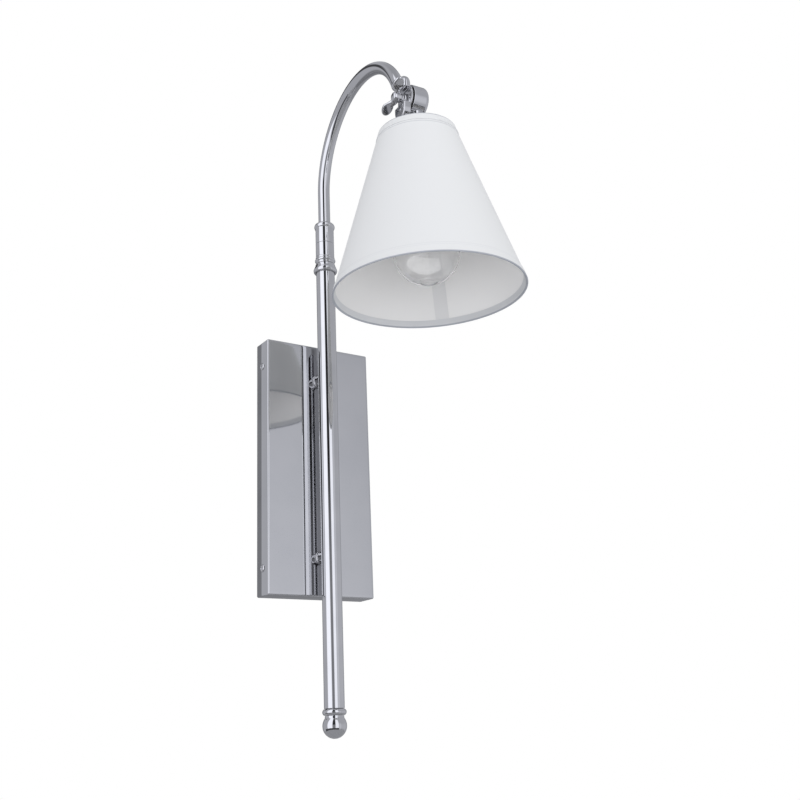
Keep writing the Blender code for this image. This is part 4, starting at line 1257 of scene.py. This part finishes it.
wing_mesh = united("wing_screw", barrel_mesh, wing(WING_ANGLE), wing(WING_ANGLE + math.pi))
new_piece(
    "thumb_screw", wing_mesh, nickel, "clamp_screw", ["wing_screw"], 32.0, weighted=True
)
print("wing screw:", len(wing_mesh.polygons), "faces")

# %% [markdown]
# ## Knuckle, head side
#
# The head hangs from a drum: a short round box with one generously rounded edge, and a neck under its
# middle that carries the socket cap.

# %% Drum and neck
DRUM_RADIUS = 14.6 * MM
DRUM_LENGTH = 16.5 * MM
DRUM_ROUND = 4.6 * MM

round_centre = (DRUM_RADIUS - DRUM_ROUND, DRUM_LENGTH - DRUM_ROUND)
near_edge = [(DRUM_RADIUS, 4 * MM), (DRUM_RADIUS, 0.1 * MM), (3.2 * MM, 0.1 * MM)]
drum_profile = [(0.0, DRUM_LENGTH), *circle_arc(round_centre, DRUM_ROUND, 90, 0, 16)]
drum_profile += [*softened(near_edge, 0.5 * MM, 5), (3.2 * MM, 3 * MM), (0.0, 3 * MM)]
drum = grid_mesh("drum", placed(along_hinge(drum_profile, 128), HINGE))
neck_profile = softened([(0.0, -10.0), (7.2, -10.0), (7.2, -22.6), (6.6, -24.0), (0.0, -24.0)], 0.5, 4) * MM
neck = grid_mesh("neck", placed(spun(neck_profile, 64), HEAD))
drum_mesh = united("drum", drum, neck)
new_piece("hinge_drum", drum_mesh, nickel, "head", ["knuckle_drum"], 32.0, weighted=True)
print("drum:", len(drum_mesh.polygons), "faces")

# %% [markdown]
# ## Lampholder and shade carrier
#
# Under the neck come the spun socket cap, the moulded lampholder and the ring nut that clamps the shade's
# carrier. The carrier is wire: a hoop in the shade's top edge, three spokes and a small plate with a hole.
# Profiles are in millimetres below the hinge.

# %% Socket cap, holder and ring nut
cap = ring(
    [(4.3, -24.3), (7.8, -24.3), (11.0, -25.0), (16.0, -29.0), (19.0, -35.0), (19.8, -42.0), (19.8, -48.0),
     (18.7, -48.0), (18.7, -42.3), (17.9, -35.5), (15.2, -30.0), (10.6, -26.1), (7.8, -25.4), (4.3, -25.4)],
    1.4, 5
) * MM
fitting("spun_cap", "socket_cap", cap, "head", HEAD)
holder = softened(
    [(0.0, -40.0), (16.5, -40.0), (18.2, -43.0), (18.2, -57.8), (20.4, -57.8), (20.4, -60.0), (18.2, -60.0),
     (18.2, -99.0), (14.5, -99.0), (14.5, -70.0), (0.0, -70.0)], 0.5, 4
) * MM
fitting("moulded_holder", "lampholder", holder, "head", HEAD, material=phenolic)


GRIP_FROM = 21.9 * MM


def ribbed(profile, ribs, depth, steps=240):
    """A turned form whose radius, past GRIP_FROM, also falls by depth (1 - cos(ribs a)) / 2."""
    points = spun(profile, steps)
    angle = np.linspace(0.0, 2 * math.pi, steps + 1)
    radius = np.hypot(points[..., 0], points[..., 1])
    cut = depth * (1 - np.cos(ribs * angle)) / 2 * (radius > GRIP_FROM)
    points[..., :2] *= ((radius - cut) / np.maximum(radius, 1e-9))[..., None]
    return points


nut = ring(
    [(21.4, -62.0), (22.6, -63.2), (22.6, -70.0), (21.4, -71.2), (18.4, -71.2), (18.4, -62.0)], 0.4, 4
) * MM
nut_mesh = grid_mesh("nut", placed(ribbed(nut, 40, 0.5 * MM), HEAD))
new_piece("grip_ring", nut_mesh, phenolic, "head", ["shade_ring_nut"])
print("holder parts: cap, holder, ring nut")

# %% Shade carrier
SHADE_TOP = -33.5 * MM
SHADE_HEIGHT = 159.0 * MM
TOP_RADIUS = 36.0 * MM
BOTTOM_RADIUS = 86.6 * MM
SLOPE = (BOTTOM_RADIUS - TOP_RADIUS) / SHADE_HEIGHT
SLANT = math.hypot(1.0, SLOPE)
WIRE = 1.1 * MM
FINE_WIRE = 0.4 * MM
FINE_INSET = 0.66 * MM
HOOP_INSET = 3.0 * MM


def cone_radius(level, inset=0.0):
    """The shade's radius at a level under the hinge, less an inset square to the cone."""
    return TOP_RADIUS + SLOPE * (SHADE_TOP - level) - inset * SLANT


def hoop(level, inset, wire):
    """A wire ring: a small circle turned about the axis."""
    return spun(circle_arc((cone_radius(level, inset), level), wire, 0, 360, 16), 128)


hoop_level = SHADE_TOP - 2.2 * MM
hub_level = -61.0 * MM
carrier = grid_mesh("hoop", placed(hoop(hoop_level, HOOP_INSET, WIRE), HEAD))
hub_plate = ring([(21.6, -60.4), (21.6, -61.6), (18.4, -61.6), (18.4, -60.4)], 0.3) * MM
parts = [grid_mesh("hub", placed(spun(hub_plate, 96), HEAD))]
rim_radius = cone_radius(hoop_level, HOOP_INSET)
for spoke in range(3):
    way = math.radians(30.0 + 120.0 * spoke)
    corners = [(20.0 * MM, hub_level), (24.0 * MM, hub_level + 1.0 * MM)]
    corners += [(rim_radius - 2.5 * MM, hoop_level - 5.5 * MM), (rim_radius, hoop_level)]
    corners = softened(corners, 4 * MM, 8)
    path = np.stack([corners[:, 0] * math.cos(way), corners[:, 0] * math.sin(way), corners[:, 1]], -1)
    parts.append(grid_mesh("spoke", placed(capped(swept(path, 1.0 * MM, 16)), HEAD)))
carrier = united("carrier", carrier, *parts)
new_piece("shade_carrier", carrier, zinc, "head", ["shade_spider"])
low_level = SHADE_TOP - SHADE_HEIGHT + 1.1 * MM
low_hoop = grid_mesh("low_hoop", placed(hoop(low_level, FINE_INSET, FINE_WIRE), HEAD))
new_piece("bottom_hoop", low_hoop, zinc, "head", ["bottom_wire_ring"])
print("carrier:", len(carrier.polygons), "faces")

# %% [markdown]
# ## Shade
#
# A hard-backed shade is linen laminated on a stiff white liner, rolled into a cone and glued along one
# overlap. Strips of the same linen are folded over the two edges. So there are five pieces: the cloth,
# the liner, the overlap that shows inside as a slightly darker band, and two folded trims. Cloth is laid
# out flat first: the UV map is measured in metres along the slant and round the middle, and the weave
# reads it, so threads keep their size. The linen also gets a slight unevenness, well under a tenth of a
# millimetre, which keeps its highlights from looking machined.

# %% Cloth and liner
CLOTH_INSET = 0.25 * MM
CLOTH_THICK = 0.35 * MM
LINER_THICK = 0.5 * MM
UNEVEN = 0.07 * MM
WALL_ENDS = 1.9 * MM
SEAM_TURN = math.radians(51.0)
slant_length = SHADE_HEIGHT * SLANT
mean_radius = (TOP_RADIUS + BOTTOM_RADIUS) / 2


def cone_wall(outer_inset, inner_inset, uneven=0.0, rows=72, columns=192):
    """A cone's wall as one closed surface: down the outside, in at the foot, up the inside.

    Both sides carry a slow ripple, uneven (sin 3a sin 2v + sin(5a + 4v) / 2) / 2, where v goes from 0
    to pi down the slant."""
    down = np.linspace(0.0, 1.0, rows)
    share = np.concatenate([down, down[::-1], down[:1]])
    inset = np.concatenate([np.full(rows, outer_inset), np.full(rows, inner_inset), [outer_inset]])
    angle = np.linspace(0.0, 2 * math.pi, columns + 1) + SEAM_TURN
    level = (SHADE_TOP - WALL_ENDS - (SHADE_HEIGHT - 2 * WALL_ENDS) * share)[:, None]
    v = share[:, None] * math.pi
    ripple = uneven * (np.sin(3 * angle) * np.sin(2 * v) + np.sin(5 * angle + 4 * v) / 2) / 2
    radius = cone_radius(level, inset[:, None]) + ripple
    points = np.stack([radius * np.cos(angle), radius * np.sin(angle), level + 0 * angle], -1)
    uv = np.stack(np.broadcast_arrays((angle - SEAM_TURN) * mean_radius, share[:, None] * slant_length), -1)
    return points, uv


points, uv = cone_wall(CLOTH_INSET, CLOTH_INSET + CLOTH_THICK, UNEVEN)
cloth_mesh = grid_mesh("shade_cloth", placed(points, HEAD), uv)
shade_cloth = new_piece("shade_cloth", cloth_mesh, cloth, "head", ["shade_cone"])
points, uv = cone_wall(CLOTH_INSET + CLOTH_THICK, CLOTH_INSET + CLOTH_THICK + LINER_THICK)
liner_mesh = grid_mesh("shade_liner", placed(points, HEAD), uv)
shade_lining = new_piece("shade_liner", liner_mesh, liner, "head", ["shade_cone"])
print("cone: slant", round(slant_length / MM, 1), "mm, mean radius", round(mean_radius / MM, 1), "mm")

# %% Liner overlap
OVERLAP = 13.0 * MM
OVERLAP_THICK = 0.35 * MM
inside = CLOTH_INSET + CLOTH_THICK + LINER_THICK


def overlap_strip(rows=60, columns=10):
    """A strip of constant width up the inside of the cone: half angle = half width / radius."""
    across = np.linspace(-1.0, 1.0, columns)
    across = np.concatenate([across, across[::-1], across[:1]])
    depth = np.concatenate([np.full(columns, inside - 0.05 * MM), np.full(columns, inside + OVERLAP_THICK)])
    depth = np.concatenate([depth, depth[:1]])
    level = np.linspace(SHADE_TOP - 4 * MM, SHADE_TOP - SHADE_HEIGHT + 1.2 * MM, rows)[:, None]
    radius = cone_radius(level, depth[None])
    angle = SEAM_TURN + across[None] * OVERLAP / 2 / radius
    return capped(np.stack([radius * np.cos(angle), radius * np.sin(angle), level + 0 * angle], -1))


seam_mesh = grid_mesh("liner_seam", placed(overlap_strip(), HEAD))
seam_strip = new_piece("liner_seam", seam_mesh, glue, "head")
print("overlap", round(OVERLAP / MM), "mm wide")

# %% [markdown]
# ### Folded trims
#
# A trim is a strip of linen folded over the edge. Its section is a hairpin: down the outside, round the
# edge, up the inside. A function walks that centre line and gives it a thickness, and the section is then
# turned about the axis like any lathe work.

# %% Folded trims
TRIM_THICK = 0.4 * MM
TRIM_OUT = 8.0 * MM
TRIM_IN = 6.6 * MM


def hairpin(edge_level, into):
    """Section of a folded strip: (radius, level) of its outer line, then of its inner line backwards.

    Distances are measured along the slant from the edge. `into` is -1 where the shade lies below
    the edge and 1 where it lies above it. The second result is each point's distance from the edge,
    made negative on the inner leaf."""
    outer_leaf = CLOTH_INSET - 0.05 * MM - TRIM_THICK / 2
    inner_leaf = inside + 0.05 * MM + TRIM_THICK / 2
    bend = (inner_leaf - outer_leaf) / 2
    out = np.linspace(TRIM_OUT, bend, 14)
    turn_angle = np.linspace(0.0, math.pi, 13)[1:-1]
    back = np.linspace(bend, TRIM_IN, 14)
    round_inset = (inner_leaf + outer_leaf) / 2 - bend * np.cos(turn_angle)
    inset = np.concatenate([outer_leaf + 0 * out, round_inset, inner_leaf + 0 * back])
    run = np.concatenate([out, bend * (1 - np.sin(turn_angle)) + TRIM_THICK / 2, back])
    line = np.stack([inset, run], -1)
    tangent = np.gradient(line, axis=0)
    tangent /= np.linalg.norm(tangent, axis=1, keepdims=True)
    normal = np.stack([tangent[:, 1], -tangent[:, 0]], -1) * TRIM_THICK / 2
    loop = np.concatenate([line + normal, (line - normal)[::-1], (line + normal)[:1]])
    level = edge_level + into * loop[:, 1] / SLANT
    leaf = np.where(np.arange(len(line)) < len(line) / 2, 1.0, -1.0)
    leaf = np.concatenate([leaf, leaf[::-1], leaf[:1]])
    return np.stack([cone_radius(level, loop[:, 0]), level], -1), loop[:, 1] * leaf


for name, node, edge_level, into in (
    ("top_binding", "top_trim", SHADE_TOP, -1.0),
    ("bottom_binding", "bottom_trim", SHADE_TOP - SHADE_HEIGHT, 1.0),
):
    section, run = hairpin(edge_level, into)
    points = spun(section, 256)
    angle = np.linspace(0.0, 2 * math.pi, 257)
    uv = np.stack(np.broadcast_arrays(angle[None] * section[:, :1].mean(), run[:, None]), -1)
    mesh = grid_mesh(name, placed(points, HEAD), uv)
    new_piece(name, mesh, cloth, "head", [node], corner=70.0)
print("trims:", round(TRIM_OUT / MM, 1), "mm outside,", round(TRIM_IN / MM, 1), "mm inside")

# %% [markdown]
# ### The cloth laid flat
# A cone unrolls to part of a ring. With radii R and r and slant s, the ring's outer radius is R s / (R - r),
# and the part's angle is 2 pi R over that.

# %% [markdown]
# ## Bulb
#
# The bulb is clear glass blown with a real wall, so light bends twice and nearly cancels, and what shows
# is its rim and its reflections. Its outline is a neck, a smooth shoulder and a sphere with a low raised
# ring round its tip. Inside are a glass stem, two support wires and a coil. The cap's thread is a function
# of height and angle: the radius swells with the cosine of (height / pitch - angle), which makes a helix.

# %% Bulb glass
BULB_RADIUS = 30.0 * MM
BULB_CENTRE = -153.5 * MM
BULB_NECK = 12.4 * MM
GLASS_WALL = 0.6 * MM
JOIN = math.radians(40.0)
TIP_RING = 8.2 * MM
TIP_RING_RISE = 0.35 * MM
TIP_RING_WIDTH = 1.1 * MM


def bulb_line(inset):
    """Neck, then a cubic from the neck to the sphere that leaves both smoothly, then the sphere.

    On the outside, the tip ring adds rise exp(-((r - ring) / width)^2) to the sphere's lower half."""
    t = np.linspace(0.0, 1.0, 28)[:, None]
    start = np.array([BULB_NECK - inset, -103.0 * MM])
    end = np.array([math.cos(JOIN), math.sin(JOIN)]) * (BULB_RADIUS - inset) + [0.0, BULB_CENTRE]
    ease = t * t * (3 - 2 * t)
    leave = np.array([[0.0, -30.0 * MM]]) * t * (1 - t) ** 2
    arrive = np.array([[-24.0 * MM, 28.0 * MM]]) * t * t * (1 - t)
    shoulder = start * (1 - ease) + end * ease + leave + arrive
    sphere = circle_arc((0.0, BULB_CENTRE), BULB_RADIUS - inset, math.degrees(JOIN), -90, 120)
    if inset == 0.0:
        lower_half = sphere[:, 1] < BULB_CENTRE
        swell = np.exp(-(((sphere[:, 0] - TIP_RING) / TIP_RING_WIDTH) ** 2))
        sphere[:, 1] -= TIP_RING_RISE * swell * lower_half
    sphere[-1, 0] = 0.0
    return np.concatenate([[(BULB_NECK - inset, -96.0 * MM)], shoulder, sphere[1:]])


envelope = np.concatenate([bulb_line(0.0)[::-1], bulb_line(GLASS_WALL)])
bulb_mesh = grid_mesh("bulb", placed(spun(envelope, 128), HEAD))
bulb = new_piece("bulb_envelope", bulb_mesh, glass, "head", ["bulb_glass"], corner=60.0)
lights_only(bulb_lamp, bulb)
lights_only(liner_lamp, shade_lining, seam_strip)
lights_only(bounce, shade_lining, seam_strip)
print("bulb", round(2 * BULB_RADIUS / MM), "mm across")

# %% Bulb cap and glass stem
THREAD_PITCH = 3.6 * MM
THREAD_DEPTH = 0.55 * MM
CAP_RADIUS = 12.55 * MM
CAP_FOOT = -101.5 * MM


def threaded_cap(rows=120, columns=96):
    """Radius R + d cos(2 pi h / pitch - a), faded in and out at the thread's two ends."""
    level = np.linspace(-80.0 * MM, CAP_FOOT, rows)[:, None]
    angle = np.linspace(0.0, 2 * math.pi, columns + 1)[None]
    fade = np.clip((level + 101.0 * MM) / (5 * MM), 0, 1) * np.clip((-81.0 * MM - level) / (2 * MM), 0, 1)
    radius = CAP_RADIUS + THREAD_DEPTH * fade * np.cos(2 * math.pi * level / THREAD_PITCH - angle)
    skin = np.stack([radius * np.cos(angle), radius * np.sin(angle), level + 0 * angle], -1)
    crown = spun([(0.0, -78.0 * MM), (6.0 * MM, -78.0 * MM), (10.8 * MM, -79.0 * MM)], columns)
    lip = [(12.45 * MM, CAP_FOOT), (11.2 * MM, CAP_FOOT), (11.2 * MM, -80.5 * MM), (0.0, -80.5 * MM)]
    lip = spun(lip, columns)
    return np.concatenate([crown, skin, lip])


cap_mesh = grid_mesh("cap", placed(threaded_cap(), HEAD))
new_piece("bulb_screw_cap", cap_mesh, cap_metal, "head", ["bulb_base"])
stem_line = softened(
    [(0.0, -84.5), (9.0, -85.0), (7.5, -93.0), (3.4, -105.0), (2.6, -117.0), (3.2, -119.0), (0.0, -120.0)],
    1.2, 6
) * MM
fitting("glass_mount", "bulb_stem", stem_line, "head", HEAD, steps=48, material=glass)
print("cap thread pitch", round(THREAD_PITCH / MM, 1), "mm")

# %% Coil and its supports
COIL_WIRE = 0.16 * MM
COIL_RADIUS = 0.5 * MM
COIL_TURNS = 44
span = np.linspace(-1.0, 1.0, 900)
centre_line = np.stack([13.0 * MM * span, 1.2 * MM * np.sin(5 * span), (-150.0 + 3.5 * span**2) * MM], -1)
winding = 2 * math.pi * COIL_TURNS * span
coil_path = centre_line + COIL_RADIUS * np.stack([0 * span, np.cos(winding), np.sin(winding)], -1)
coil = grid_mesh("coil", placed(capped(swept(coil_path, COIL_WIRE, 6)), HEAD))
new_piece("coil", coil, tungsten, "head", ["filament"])
for number, way in enumerate((-1.0, 1.0)):
    stops = np.array([(3.4, 0, -117.5), (5.6, 0, -127.0), (12.2, 0, -141.0), (13.0, 0, -146.5)])
    stops = stops * [way, 1, 1] * MM
    t = np.linspace(0, len(stops) - 1, 40)
    path = np.stack([np.interp(t, np.arange(len(stops)), stops[:, i]) for i in range(3)], -1)
    wire = grid_mesh("support", placed(capped(swept(path, 0.3 * MM, 8)), HEAD))
    new_piece(f"coil_support_{number + 1}", wire, tungsten, "head", ["filament"])
print("coil of", COIL_TURNS, "turns on two supports")
